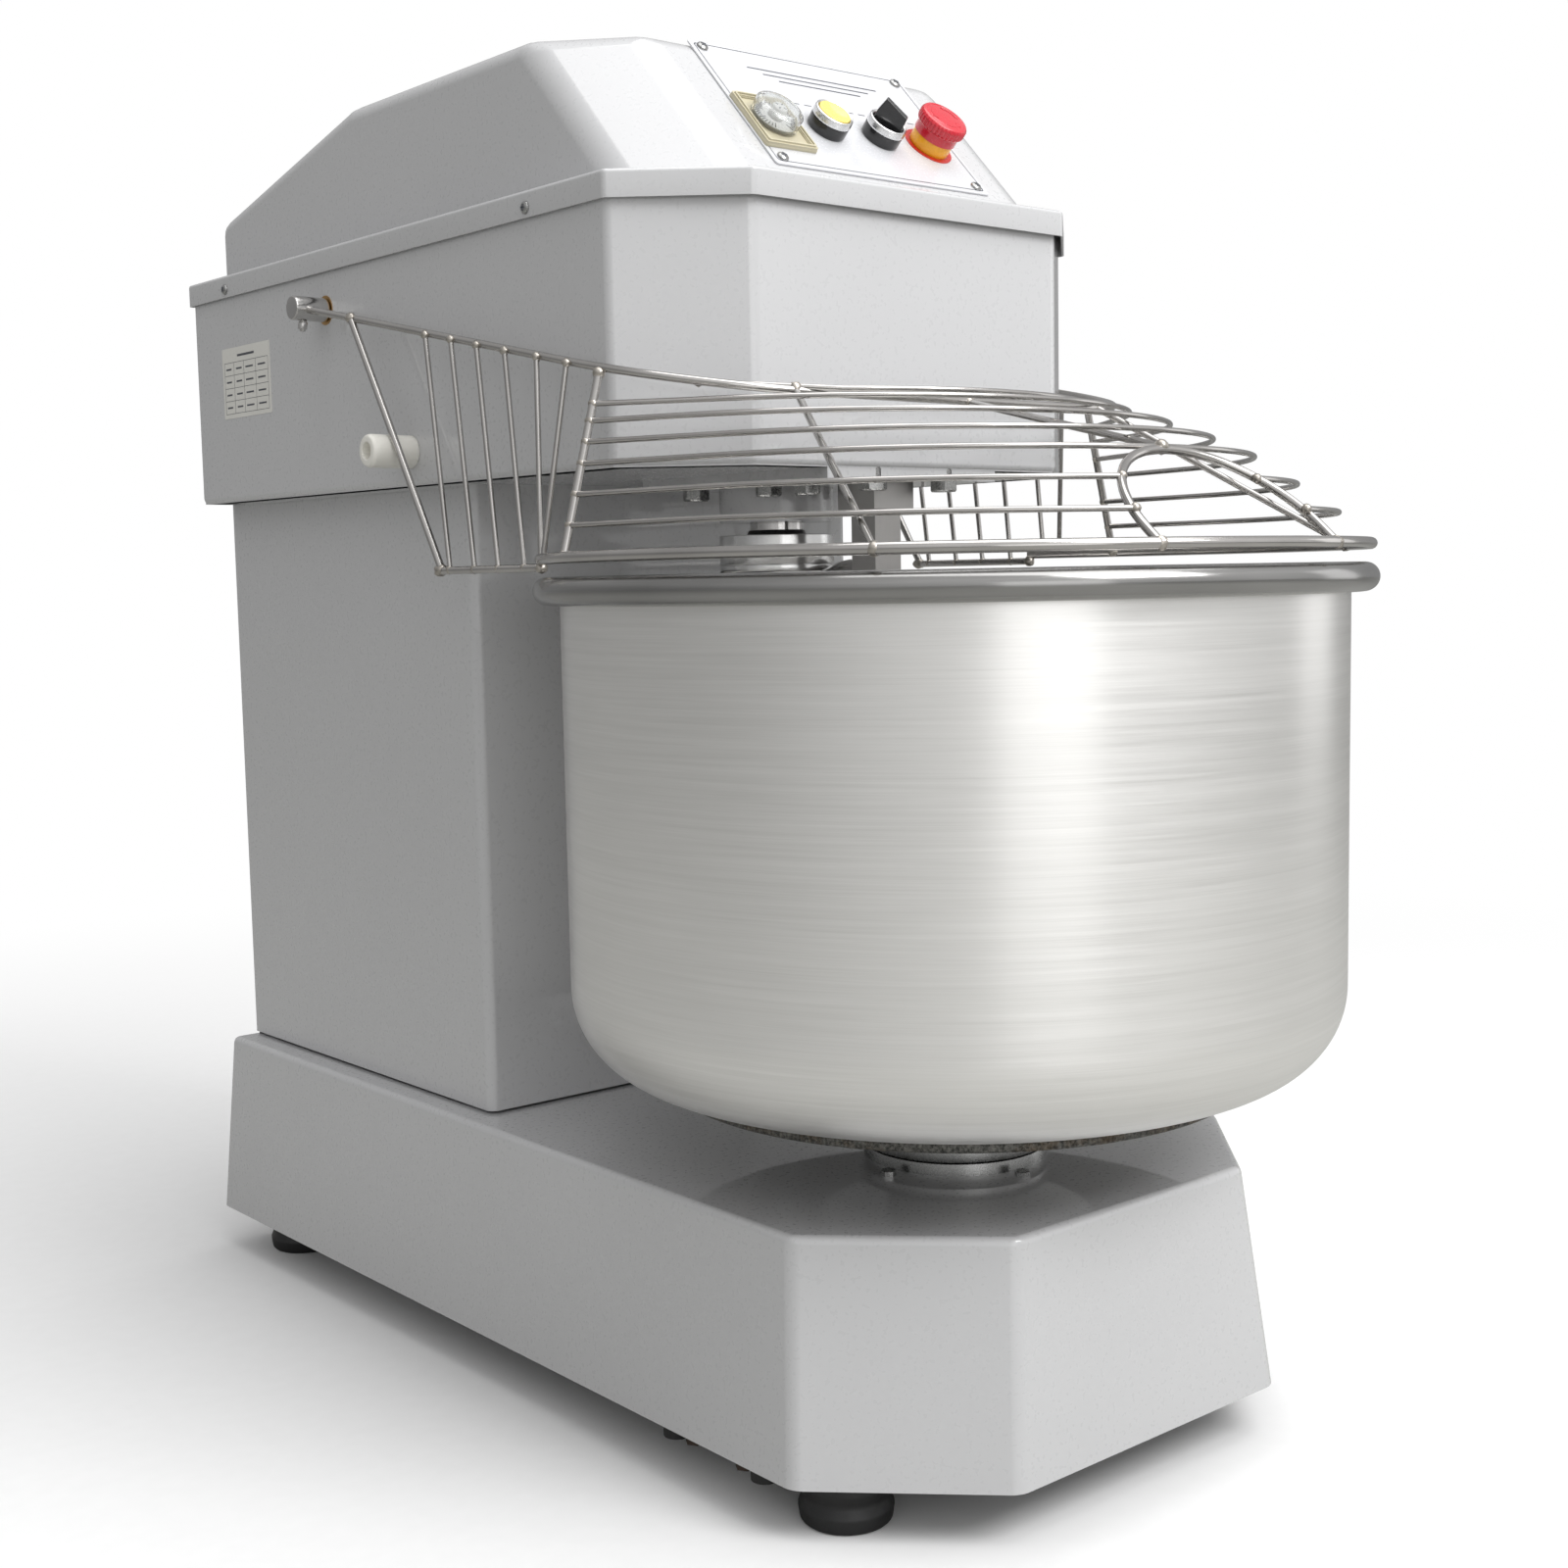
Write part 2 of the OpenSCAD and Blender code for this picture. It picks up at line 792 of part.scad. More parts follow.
module bowl_outline(t, top) {
  c = bowl_corner;
  translate([0, bowl_z + c]) square([wall_r - t, top - bowl_z - c]);
  translate([0, bowl_z + t]) square([wall_r - c, c + 1]);
  translate([wall_r - c, bowl_z + c])
    intersection() {
      circle(r = c - t, $fn = 96);
      translate([0, -c]) square([c, c + 1]);
    }
}

module bowl() {
  color("silver")
    translate([0, bowl_y, 0])
      rotate_extrude($fn = 96) {
        difference() {
          bowl_outline(0, rim_z);
          bowl_outline(bowl_t, rim_z + 5);
        }
        translate([rim_d / 2 - bead_d / 2, rim_z]) circle(d = bead_d);
      }
}

disc_t = 10;
stud_at = [for (i = [0:5]) polar(125, 60 * i + 20)];

module turntable() {
  color("rosybrown")
    translate([0, bowl_y, bowl_z - disc_t])
      difference() {
        cylinder(r = 210, h = disc_t, $fn = 96);
        for (p = stud_at) translate([p[0], p[1], -1]) cylinder(d = 10.4, h = disc_t + 2);
      }
}

module turntable_bolts() {
  color("silver")
    for (p = stud_at)
      translate([p[0], bowl_y + p[1], bowl_z - disc_t]) {
        translate([0, 0, -8]) cylinder(d = 17 / cos(30), h = 8, $fn = 6);
        translate([0, 0, -20]) cylinder(d = 10, h = 20 + disc_t - 1);
      }
}

module bowl_shaft() {
  color("silver")
    translate([0, bowl_y, 0]) {
      translate([0, 0, 86]) cylinder(d = 60, h = bowl_z - disc_t - 86);
      translate([0, 0, 245]) cylinder(d = 200, h = bowl_z - disc_t - 245);
      translate([0, 0, 209.4]) cylinder(d = 136.5, h = 9.6);
      translate([0, 0, 218.9]) cylinder(d = 100, h = 27);
    }
}

module bowl_sprocket() {
  color("dimgray")
    translate([0, bowl_y, base_chain_z])
      difference() {
        union() {
          translate([0, 0, -3.5]) linear_extrude(7) polygon(sprocket_pts(84, 12.7));
          translate([0, 0, -8]) cylinder(d = 100, h = 26);
        }
        translate([0, 0, -10]) cylinder(d = 60 + 2 * clear, h = 40);
      }
}

// ---------- drive ----------

module small_sprocket(n, pitch, t) {
  translate([0, 0, -t / 2]) linear_extrude(t) polygon(sprocket_pts(n, pitch));
}

module lay_shaft() {
  color("gray")
    translate([0, lay_y, 0]) {
      translate([0, 0, 128]) cylinder(d = 35, h = 700);
      translate([0, 0, lay_chain_z]) small_sprocket(14, 12.7, 7);
      translate([0, 0, spiral_chain_z]) small_sprocket(17, 19.05, 8);
    }
}

module jack_shaft() {
  color("gray")
    translate([0, jack_y, 0]) {
      translate([0, 0, 86]) cylinder(d = 35, h = 110);
      translate([0, 0, lay_chain_z]) small_sprocket(56, 12.7, 7);
      translate([0, 0, base_chain_z]) small_sprocket(14, 12.7, 7);
    }
}

// Pulley for two belts whose inner faces run at radius r
module pulley(r, bore) {
  difference() {
    translate([0, 0, -10])
      rotate_extrude()
        polygon([
          [0, 0], [r + 6, 0], [r + 6, 1.6], [r - 0.4, 1.6],
          [r - 0.4, 18.4], [r + 6, 18.4], [r + 6, 20], [0, 20]
        ]);
    translate([0, 0, -20]) cylinder(d = bore, h = 40);
  }
}

module lay_pulley() {
  color("dimgray")
    translate([0, lay_y, belt_z])
      difference() {
        pulley(123.5, 35 + 2 * clear);
        for (i = [0:4])
          rotate([0, 0, 72 * i]) translate([76, 0, -20]) cylinder(d = 48, h = 40);
      }
}

module motor_pulley() {
  color("dimgray")
    translate([0, motor_y, belt_z]) pulley(38.5, 24 + 2 * clear);
}

module drive_belts() {
  color("black")
    for (z = [belt_z - 7.5, belt_z + 0.5])
      translate([0, 0, z]) band(lay_y, 127.5, motor_y, 42.5, 8, 7);
}

// Side plates of a chain, above and below the sprockets
module chain(y1, r1, y2, r2, z, gap, w) {
  for (h = [gap, -gap - 1.6])
    translate([0, 0, z + h]) band(y1, r1, y2, r2, w, 1.6);
}

module drive_chains() {
  color("gray") {
    chain(bowl_y, 169.8, jack_y, 28.5, base_chain_z, 3.9, 9);
    chain(jack_y, 113.3, lay_y, 28.5, lay_chain_z, 3.9, 9);
    chain(spiral_y, 124.4, lay_y, 51.85, spiral_chain_z, 4.4, 14);
  }
}

// Square flanged bearing standing on z = 0
module bearing_unit(h) {
  difference() {
    union() {
      translate([-42, -42, 0]) cube([84, 84, 8]);
      cylinder(d = 64, h = h);
    }
    translate([0, 0, -1]) cylinder(d = 35 + 2 * clear, h = h + 2);
  }
}

module flange_bearings() {
  color("seagreen") {
    translate([0, lay_y, base_z1]) bearing_unit(26);
    translate([0, lay_y, head_z0]) rotate([180, 0, 0]) bearing_unit(26);
    translate([0, jack_y, 173]) rotate([180, 0, 0]) bearing_unit(22);
    translate([0, jack_y, 185]) bearing_unit(11);
  }
}

module motor_housing() {
  color("steelblue")
    translate([0, motor_y, 0])
      difference() {
        union() {
          translate([0, 0, 410]) cylinder(d = 176, h = 285);
          translate([-86, -86, 690]) cube([172, 172, 14]);
          translate([60, -45, 560]) cube([70, 90, 90]);
        }
        translate([0, 0, 430]) cylinder(d = 124, h = 250);
        translate([0, 0, 405]) cylinder(d = 24 + 2 * clear, h = 320);
        for (p = motor_bolts) translate([p[0], p[1] - motor_y, 680]) cylinder(d = 12.4, h = 40);
      }
}

module motor_rotor() {
  color("silver")
    translate([0, motor_y, 0]) {
      translate([0, 0, 412]) cylinder(d = 24, h = 338);
      translate([0, 0, 450]) cylinder(d = 118, h = 200);
    }
}

module electrical_box() {
  color("lightgray")
    difference() {
      translate([-110, 400, 200]) cube([220, 118, 170]);
      translate([-108, 398, 202]) cube([216, 110, 166]);
    }
}

// ---------- guard ----------

module guard_switch() {
  color("royalblue")
    translate([-225, 240, 866]) cube([40, 60, 28]);
}

module guard_bumpers() {
  color("white")
    both_sides()
      translate([head_w / 2, bumper_at[0], bumper_at[1]])
        rotate([0, 90, 0])
          difference() {
            union() {
              cylinder(d = 26, h = 40);
              translate([0, 0, -8]) cylinder(d = 8, h = 9);
            }
            translate([0, 0, 30]) cylinder(d = 13, h = 11);
          }
}

module guard_bushes() {
  color("goldenrod")
    both_sides()
      translate([head_w / 2 - 14, pivot[0], pivot[1]]) rotate([0, 90, 0]) tube(24, 12 + 2 * clear, 14.4);
}

module guard_shaft() {
  color("silver")
    translate([-243, pivot[0], pivot[1]]) rotate([0, 90, 0]) cylinder(d = 12, h = 486);
}

// Clamping bosses with a cross-hole for the arm and a set screw below
module guard_pivots() {
  color("silver")
    both_sides()
      translate([head_w / 2 + 1, pivot[0], pivot[1]])
        rotate([arm_tilt, 0, 0]) {
          difference() {
            rotate([0, 90, 0]) cylinder(d = 20, h = 30);
            translate([-1, 0, 0]) rotate([0, 90, 0]) cylinder(d = 12 + 2 * clear, h = 17);
            translate([arm_x - head_w / 2 - 1, 0, 0])
              rotate([90, 0, 0]) cylinder(d = arm_wire + 0.2, h = 30, center = true);
          }
          translate([arm_x - head_w / 2 - 1, 0, -14]) cylinder(d = 6, h = 10);
        }
}

// Half of an arm: straight run and corner, drawn in the tilted plane of the arms
module guard_arm() {
  run = 390;
  corner = 130;
  translate([0, pivot[0], pivot[1]])
    rotate([arm_tilt, 0, 0]) {
      rod([arm_x, 14, 0], [arm_x, -run, 0], arm_wire);
      arc_at([arm_x - corner, -run], corner, -90, 0, arm_wire);
      rod([arm_x - corner, -run - corner, 0], [-1, -run - corner, 0], arm_wire);
    }
}

module arc_at(c, r, a0, a1, d) {
  translate([c[0], c[1], 0])
    rotate([0, 0, a0])
      rotate_extrude(angle = a1 - a0, $fn = 96) translate([r, 0]) circle(d = d, $fn = 24);
}

strut_top = [245, -143, 766];
strut_foot = [278, -143, 643];

module guard_frame() {
  color("silver") {
    ring_end = atan2(155, 250);
    arc_wire(bowl_y, ring_r, ring_z, 180 - ring_end, 360 + ring_end, ring_wire);
    both_sides() {
      guard_arm();
      rod(strut_top, strut_foot, arm_wire);
      rod([250, -74, 636.5], [250, 64, 636.5], arm_wire);
      rod([249, 187.5, 836.7], [250, 60.8, 637], arm_wire);
    }
  }
}

// Cage wires: radius, foremost point, height and the gap left for the chute
levels = [
  [240, -322, 745, []],
  [246, -359, 733.5, []],
  [232, -402, 719.5, []],
  [240, -436, 705, []],
  [254, -469, 684.5, [-79, 43]],
  [268, -500, 664, [-97, 57]]
];

// Angle at which the tangent to E leaves the circle of radius r round (0, c)
function leave_angle(e, c, r) =
  let (v = [e[0], e[1] - c]) atan2(v[1], v[0]) - acos(r / norm(v));

module cage_level(r, front, z, gap, e) {
  c = front + r;
  a = leave_angle(e, c, r);
  both_sides() rod([r * cos(a - 0.15), c + r * sin(a - 0.15), z], e, cage_wire + 0.06);
  if (len(gap) == 0) arc_wire(c, r, z, 180 - a, 360 + a, cage_wire);
  else {
    arc_wire(c, r, z, 180 - a, 360 - acos(gap[0] / r), cage_wire);
    arc_wire(c, r, z, 360 - acos(gap[1] / r), 360 + a, cage_wire);
  }
}

// Loop round the chute, standing on the ring and leaning back with the cage
module chute_loop() {
  r = 80;
  translate([-20, -509, ring_z])
    rotate([40.3, 0, -4]) {
      arc_at([0, 14], r, 0, 180, arm_wire);
      for (x = [-r, r]) rod([x, 0, 0], [x, 14.6, 0], arm_wire + 0.06);
    }
}

module guard_cage() {
  color("silver") {
    for (l = levels)
      cage_level(l[0], l[1], l[2], l[3],
        [strut_top[0] + (strut_top[2] - l[2]) / 123 * 33, strut_top[1], l[2]]);
    cage_level(230, -287, 752, [], [205, -200, 757]);
    chute_loop();
    both_sides() {
      rod([236, -402, ring_z], [150, -234, 752], 5);
      for (w = [[73, 49], [37, 14.5], [2, -18], [-35, -52]])
        rod([250, w[0], arm_z(w[0]) - 1], [250, w[1], 637], cage_wire);
      for (w = [[-75.5, -84], [-112, -96]])
        rod(
          [250, w[0], arm_z(w[0]) - 1],
          [sqrt(ring_r * ring_r - pow(w[1] - bowl_y, 2)), w[1], ring_z],
          cage_wire
        );
    }
    rod([8, -240, 749], [-17, -436, 705], 5);
  }
}

function arm_z(y) = pivot[1] - (pivot[0] - y) * tan(arm_tilt);

// ---------- pieces ----------

base_shell();
base_frame();
rubber_feet();
crossbeam();
crossbeam_buffers();
crossbeam_bolts();
bowl_housing();
bowl_bearings();
bowl_seal_ring();
column_shell();
column_frame();
rear_cover();
head_shell();
head_floor();
tool_plate();
top_cover();
sheet_screws();
control_plate();
rating_label();
timer_body();
operator_bases();
operator_bezels();
estop_collar();
estop_label();
spiral_housing();
spiral_bearings();
breaker_bar();
hex_bolts();
motor_housing();
drive_belts();
drive_chains();
flange_bearings();
electrical_box();
guard_switch();
guard_bumpers();
guard_bushes();
cable_gland();
bowl();
turntable();
turntable_bolts();
bowl_shaft();
bowl_sprocket();
spiral_hook();
spiral_flange();
spiral_shaft();
spiral_sprocket();
lay_shaft();
lay_pulley();
jack_shaft();
motor_rotor();
motor_pulley();
guard_frame();
guard_cage();
guard_pivots();
guard_shaft();
start_button();
estop_stem();
estop_head();
selector_knob();
timer_dial();
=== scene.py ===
"""Looks of the spiral dough mixer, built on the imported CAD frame. Metres throughout."""
import math
import random

import bmesh
import bpy
from mathutils import Matrix, Vector


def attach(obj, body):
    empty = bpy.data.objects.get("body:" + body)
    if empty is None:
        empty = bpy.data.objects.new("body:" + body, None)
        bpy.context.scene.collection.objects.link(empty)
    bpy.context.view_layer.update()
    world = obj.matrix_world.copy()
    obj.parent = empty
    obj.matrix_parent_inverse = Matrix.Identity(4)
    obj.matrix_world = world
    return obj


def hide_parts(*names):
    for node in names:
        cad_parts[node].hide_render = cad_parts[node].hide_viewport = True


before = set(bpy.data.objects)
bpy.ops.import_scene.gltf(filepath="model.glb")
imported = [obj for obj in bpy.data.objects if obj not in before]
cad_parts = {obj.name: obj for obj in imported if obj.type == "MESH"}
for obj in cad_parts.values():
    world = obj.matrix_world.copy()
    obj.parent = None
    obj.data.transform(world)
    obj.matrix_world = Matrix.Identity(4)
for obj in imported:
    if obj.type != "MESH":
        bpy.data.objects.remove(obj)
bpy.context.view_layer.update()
random.seed(11)

# ---------- dimensions shared with the CAD, in metres ----------
BOWL_Y = -0.227
SPIRAL_Y = -0.034
BAR_Y = -0.150
BASE_TOP = 0.200
HEAD_BOTTOM = 0.704
SKIRT_BOTTOM = 0.884
DECK = 0.9035
HOOD_TOP = 1.0195
RIM_Z = 0.620
RIM_R = 0.300
BEAD_R = 0.010
WALL_R = 0.281
CORNER_R = 0.068
BOWL_BOTTOM = 0.267
PIVOT = Vector((0, 0.2698, 0.8535))
ARM_X = 0.247
ARM_TILT = math.radians(11.5)
RING_R = 0.294
RING_Z = 0.6425
PANEL = Matrix.Translation((0, -0.1647, 0.9134)) @ Matrix.Rotation(math.radians(46.5), 4, "X")
CONTROL_V = 0.056
TIMER_V = 0.052
TIMER_U = -0.078
START_U = -0.024
SELECTOR_U = 0.030
ESTOP_U = 0.0815

# ---------- strengths of the soft surroundings ----------
WORLD_FRONT = (0.05, -0.99, 0.1)
WORLD_BACK = 0.28
WORLD_LIT = 0.86
WORLD_TOP = 0.20
FLOOR_BOUNCE = 0.41
BACKDROP = 1.0


# ---------- camera ----------
def make_camera():
    yaw, pitch, roll = (math.radians(a) for a in (40.184, -5.796, -1.090))
    ahead = Vector((math.sin(yaw) * math.cos(pitch), math.cos(yaw) * math.cos(pitch), math.sin(pitch)))
    level = Vector((math.cos(yaw), -math.sin(yaw), 0))
    above = level.cross(ahead)
    right = level * math.cos(roll) + above * math.sin(roll)
    up = above * math.cos(roll) - level * math.sin(roll)
    data = bpy.data.cameras.new("camera")
    data.sensor_width = 36
    data.lens = 46.76
    data.clip_start = 0.05
    data.clip_end = 60
    cam = bpy.data.objects.new("camera", data)
    bpy.context.collection.objects.link(cam)
    cam.matrix_world = Matrix((right, up, -ahead)).transposed().to_4x4()
    cam.location = (-1.0504, -1.2809, 0.6268)
    bpy.context.scene.camera = cam


make_camera()


# ---------- outlines ----------
def polar(r, degrees):
    a = math.radians(degrees)
    return Vector((r * math.cos(a), r * math.sin(a)))


def rounded(points, radius, steps=6, closed=True):
    """A 2D outline with its corners rounded. radius is one number or one for each point."""
    out = []
    n = len(points)
    for i, p in enumerate(points):
        r = radius[i] if isinstance(radius, (list, tuple)) else radius
        p = Vector(p)
        if r <= 0 or (not closed and i in (0, n - 1)):
            out.append(p)
            continue
        a = (Vector(points[i - 1]) - p).normalized()
        b = (Vector(points[(i + 1) % n]) - p).normalized()
        half = a.angle(b) / 2
        centre = p + (a + b).normalized() * (r / math.sin(half))
        start = p + a * (r / math.tan(half)) - centre
        end = p + b * (r / math.tan(half)) - centre
        turn = start.angle(end)
        side = Vector((end - start * math.cos(turn))) / math.sin(turn)
        for k in range(steps + 1):
            t = turn * k / steps
            out.append(centre + start * math.cos(t) + side * math.sin(t))
    return out


def chamfered_plan(half, front, rear, cut_x, cut_y):
    return [
        (half, rear), (-half, rear), (-half, front + cut_y),
        (-half + cut_x, front), (half - cut_x, front), (half, front + cut_y),
    ]


# ---------- making pieces ----------
def place(obj, body, material, slot=None, replaces=()):
    if obj.name not in bpy.context.collection.objects:
        bpy.context.collection.objects.link(obj)
    obj.data.materials.clear()
    obj.data.materials.append(material)
    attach(obj, body)
    if replaces:
        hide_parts(*replaces)
    return obj


def mesh_object(name, bm, smooth=True):
    bmesh.ops.remove_doubles(bm, verts=bm.verts, dist=1e-6)
    bmesh.ops.recalc_face_normals(bm, faces=bm.faces)
    for f in bm.faces:
        f.smooth = smooth
    mesh = bpy.data.meshes.new(name)
    bm.to_mesh(mesh)
    bm.free()
    return bpy.data.objects.new(name, mesh)


def soften(obj, width, segments=3, weights=False):
    bevel = obj.modifiers.new("bend", "BEVEL")
    bevel.width = width
    bevel.segments = segments
    bevel.limit_method = "WEIGHT" if weights else "ANGLE"
    bevel.angle_limit = math.radians(28)
    bevel.use_clamp_overlap = True
    return obj


def thicken(obj, thickness):
    solid = obj.modifiers.new("sheet", "SOLIDIFY")
    solid.thickness = thickness
    solid.offset = -1
    return obj


def even_normals(obj):
    normals = obj.modifiers.new("normals", "WEIGHTED_NORMAL")
    normals.keep_sharp = True
    return obj


def band(bm, a, b):
    """Joins two closed rings of the same number of vertices with faces."""
    for i in range(len(a)):
        k = (i + 1) % len(a)
        bm.faces.new((a[i], a[k], b[k], b[i]))


def prism(bm, outline, z0, z1, matrix=Matrix()):
    low = [bm.verts.new(matrix @ Vector((p[0], p[1], z0))) for p in outline]
    high = [bm.verts.new(matrix @ Vector((p[0], p[1], z1))) for p in outline]
    band(bm, low, high)
    bm.faces.new(low[::-1])
    bm.faces.new(high)


def lathe(bm, profile, matrix=Matrix(), segments=64, wobble=None):
    """Turns (radius, height) points round the local Z. Points at radius 0 close the surface."""
    rings = []
    for j, (r, z) in enumerate(profile):
        if r < 1e-7:
            rings.append([bm.verts.new(matrix @ Vector((0, 0, z)))])
            continue
        ring = []
        for i in range(segments):
            a = 360 * i / segments
            p = polar(r + (wobble(j, a) if wobble else 0), a)
            ring.append(bm.verts.new(matrix @ Vector((p.x, p.y, z))))
        rings.append(ring)
    for a, b in zip(rings, rings[1:]):
        for i in range(segments):
            k = (i + 1) % segments
            if len(a) == 1 and len(b) == 1:
                continue
            if len(a) == 1:
                bm.faces.new((a[0], b[i], b[k]))
            elif len(b) == 1:
                bm.faces.new((a[i], a[k], b[0]))
            else:
                bm.faces.new((a[i], a[k], b[k], b[i]))


def sharp_piece(name, bm, degrees, body, material, **where):
    """A smooth mesh, sharp where its faces meet at more than the given angle, put on its body."""
    obj = mesh_object(name, bm)
    obj.data.set_sharp_from_angle(angle=math.radians(degrees))
    return place(obj, body, material, **where)


def turned(name, profile, body, material, centre=(0, 0, 0), matrix=None, segments=64, **where):
    bm = bmesh.new()
    lathe(bm, profile, matrix if matrix else Matrix.Translation(centre), segments)
    return sharp_piece(name, bm, 32, body, material, **where)


def wires(name, runs, radius, body, material, **where):
    """Round rods along point lists, as one curve object."""
    curve = bpy.data.curves.new(name, "CURVE")
    curve.dimensions = "3D"
    curve.bevel_depth = radius
    curve.bevel_resolution = 5
    curve.use_fill_caps = True
    for points in runs:
        spline = curve.splines.new("POLY")
        spline.points.add(len(points) - 1)
        for q, p in zip(spline.points, points):
            q.co = (p[0], p[1], p[2], 1)
        spline.use_smooth = True
    return place(bpy.data.objects.new(name, curve), body, material, **where)


# ---------- materials ----------
def material(name, colour, rough, metal=0.0, coat=0.0, coat_rough=0.06):
    """A new Principled material and a helper to add nodes to it."""
    mat = bpy.data.materials.new(name)
    mat.use_nodes = True
    tree = mat.node_tree
    shader = tree.nodes["Principled BSDF"]
    shader.inputs["Base Color"].default_value = (*colour, 1)
    shader.inputs["Roughness"].default_value = rough
    shader.inputs["Metallic"].default_value = metal
    shader.inputs["Coat Weight"].default_value = coat
    shader.inputs["Coat Roughness"].default_value = coat_rough
    return mat, tree, shader


def node(tree, kind, inputs=(), **settings):
    n = tree.nodes.new(kind)
    for key, value in settings.items():
        setattr(n, key, value)
    for key, value in dict(inputs).items():
        if isinstance(value, bpy.types.NodeSocket):
            tree.links.new(value, n.inputs[key])
        else:
            n.inputs[key].default_value = value
    return n


def object_space(tree, scale):
    coords = node(tree, "ShaderNodeTexCoord")
    mapping = node(tree, "ShaderNodeMapping", {"Vector": coords.outputs["Object"], "Scale": scale})
    return mapping.outputs["Vector"]


def noise(tree, vector, scale, detail=4.0, rough=0.55):
    n = node(tree, "ShaderNodeTexNoise", {"Vector": vector, "Scale": scale, "Detail": detail,
                                          "Roughness": rough})
    return n.outputs["Fac"]


def ramp(tree, value, low, high, low_at=0.3, high_at=0.7):
    """Colour that goes from low to high as the value passes the two stops."""
    r = node(tree, "ShaderNodeValToRGB", {"Fac": value})
    r.color_ramp.elements[0].position = low_at
    r.color_ramp.elements[1].position = high_at
    r.color_ramp.elements[0].color = (*low, 1)
    r.color_ramp.elements[1].color = (*high, 1)
    return r.outputs["Color"]


def spread(tree, value, low, high):
    m = node(tree, "ShaderNodeMapRange", {"Value": value, "From Min": 0.3, "From Max": 0.7, "To Min": low,
                                          "To Max": high})
    return m.outputs["Result"]


def bump(tree, shader, height, distance, strength=1.0):
    b = node(tree, "ShaderNodeBump", {"Height": height, "Distance": distance, "Strength": strength})
    tree.links.new(b.outputs["Normal"], shader.inputs["Normal"])


def grained(name, colour, rough, metal=0.0, coat=0.0, tone=0.06, patch=9.0, grain=350.0, depth=0.00004,
            rough_swing=0.06, stretch=(1, 1, 1)):
    """A general finish: slow patches of tone, grain in the roughness, and a fine bump."""
    mat, tree, shader = material(name, colour, rough, metal, coat)
    plain = object_space(tree, (1, 1, 1))
    slow = noise(tree, plain, patch, 5)
    dark = [c * (1 - tone) for c in colour]
    light = [min(1, c * (1 + tone)) for c in colour]
    tree.links.new(ramp(tree, slow, dark, light), shader.inputs["Base Color"])
    fine = noise(tree, object_space(tree, stretch), grain, 3)
    tree.links.new(spread(tree, fine, rough - rough_swing, rough + rough_swing), shader.inputs["Roughness"])
    bump(tree, shader, fine, depth)
    return mat


def hairlines(tree):
    """Level scratches of two sizes, as left by a belt run round the bowl."""
    fine = noise(tree, object_space(tree, (14, 14, 2600)), 1.0, 3, 0.6)
    broad = noise(tree, object_space(tree, (5, 5, 420)), 1.0, 3, 0.5)
    both = node(tree, "ShaderNodeMath", {0: fine, 1: broad}, operation="ADD")
    return node(tree, "ShaderNodeMath", {0: both.outputs[0], 1: 0.5}, operation="MULTIPLY").outputs[0]


def brushed_bowl(name, rough, tone, dull):
    """Stainless steel brushed round the Z axis, with cloudy patches left by polishing."""
    mat, tree, shader = material(name, (tone, tone, tone), rough, 1.0)
    lines = hairlines(tree)
    clouds = noise(tree, object_space(tree, (1, 1, 3)), 7, 3, 0.5)
    low, high = tone * 0.95, tone * 1.04
    colour = ramp(tree, lines, (low, low * 0.99, low * 0.97), (high, high * 0.99, high * 0.975), 0.35, 0.65)
    patch = ramp(tree, clouds, (dull, dull, dull), (1, 1, 1), 0.3, 0.65)
    mix = node(tree, "ShaderNodeMix", {"Factor": 1.0}, data_type="RGBA", blend_type="MULTIPLY")
    tree.links.new(colour, mix.inputs[6])
    tree.links.new(patch, mix.inputs[7])
    tree.links.new(mix.outputs[2], shader.inputs["Base Color"])
    tree.links.new(spread(tree, lines, rough - 0.05, rough + 0.05), shader.inputs["Roughness"])
    shader.inputs["Anisotropic"].default_value = 0.55
    shader.inputs["Anisotropic Rotation"].default_value = 0.25
    tangent = node(tree, "ShaderNodeTangent", direction_type="RADIAL", axis="Z")
    tree.links.new(tangent.outputs["Tangent"], shader.inputs["Tangent"])
    bump(tree, shader, lines, 0.00002, 0.5)
    return mat


def enamel():
    """White enamel: glossy coat with a faint orange peel, a cool tone and slow unevenness."""
    mat, tree, shader = material("white_enamel", (0.55, 0.552, 0.561), 0.3, coat=0.9, coat_rough=0.035)
    at = object_space(tree, (1, 1, 1))
    slow = noise(tree, at, 3, 4)
    tree.links.new(ramp(tree, slow, (0.54, 0.542, 0.551), (0.56, 0.562, 0.571)),
                   shader.inputs["Base Color"])
    peel = noise(tree, at, 300, 2, 0.4)
    tree.links.new(spread(tree, peel, 0.26, 0.34), shader.inputs["Roughness"])
    bump(tree, shader, peel, 0.00002, 0.07)
    return mat


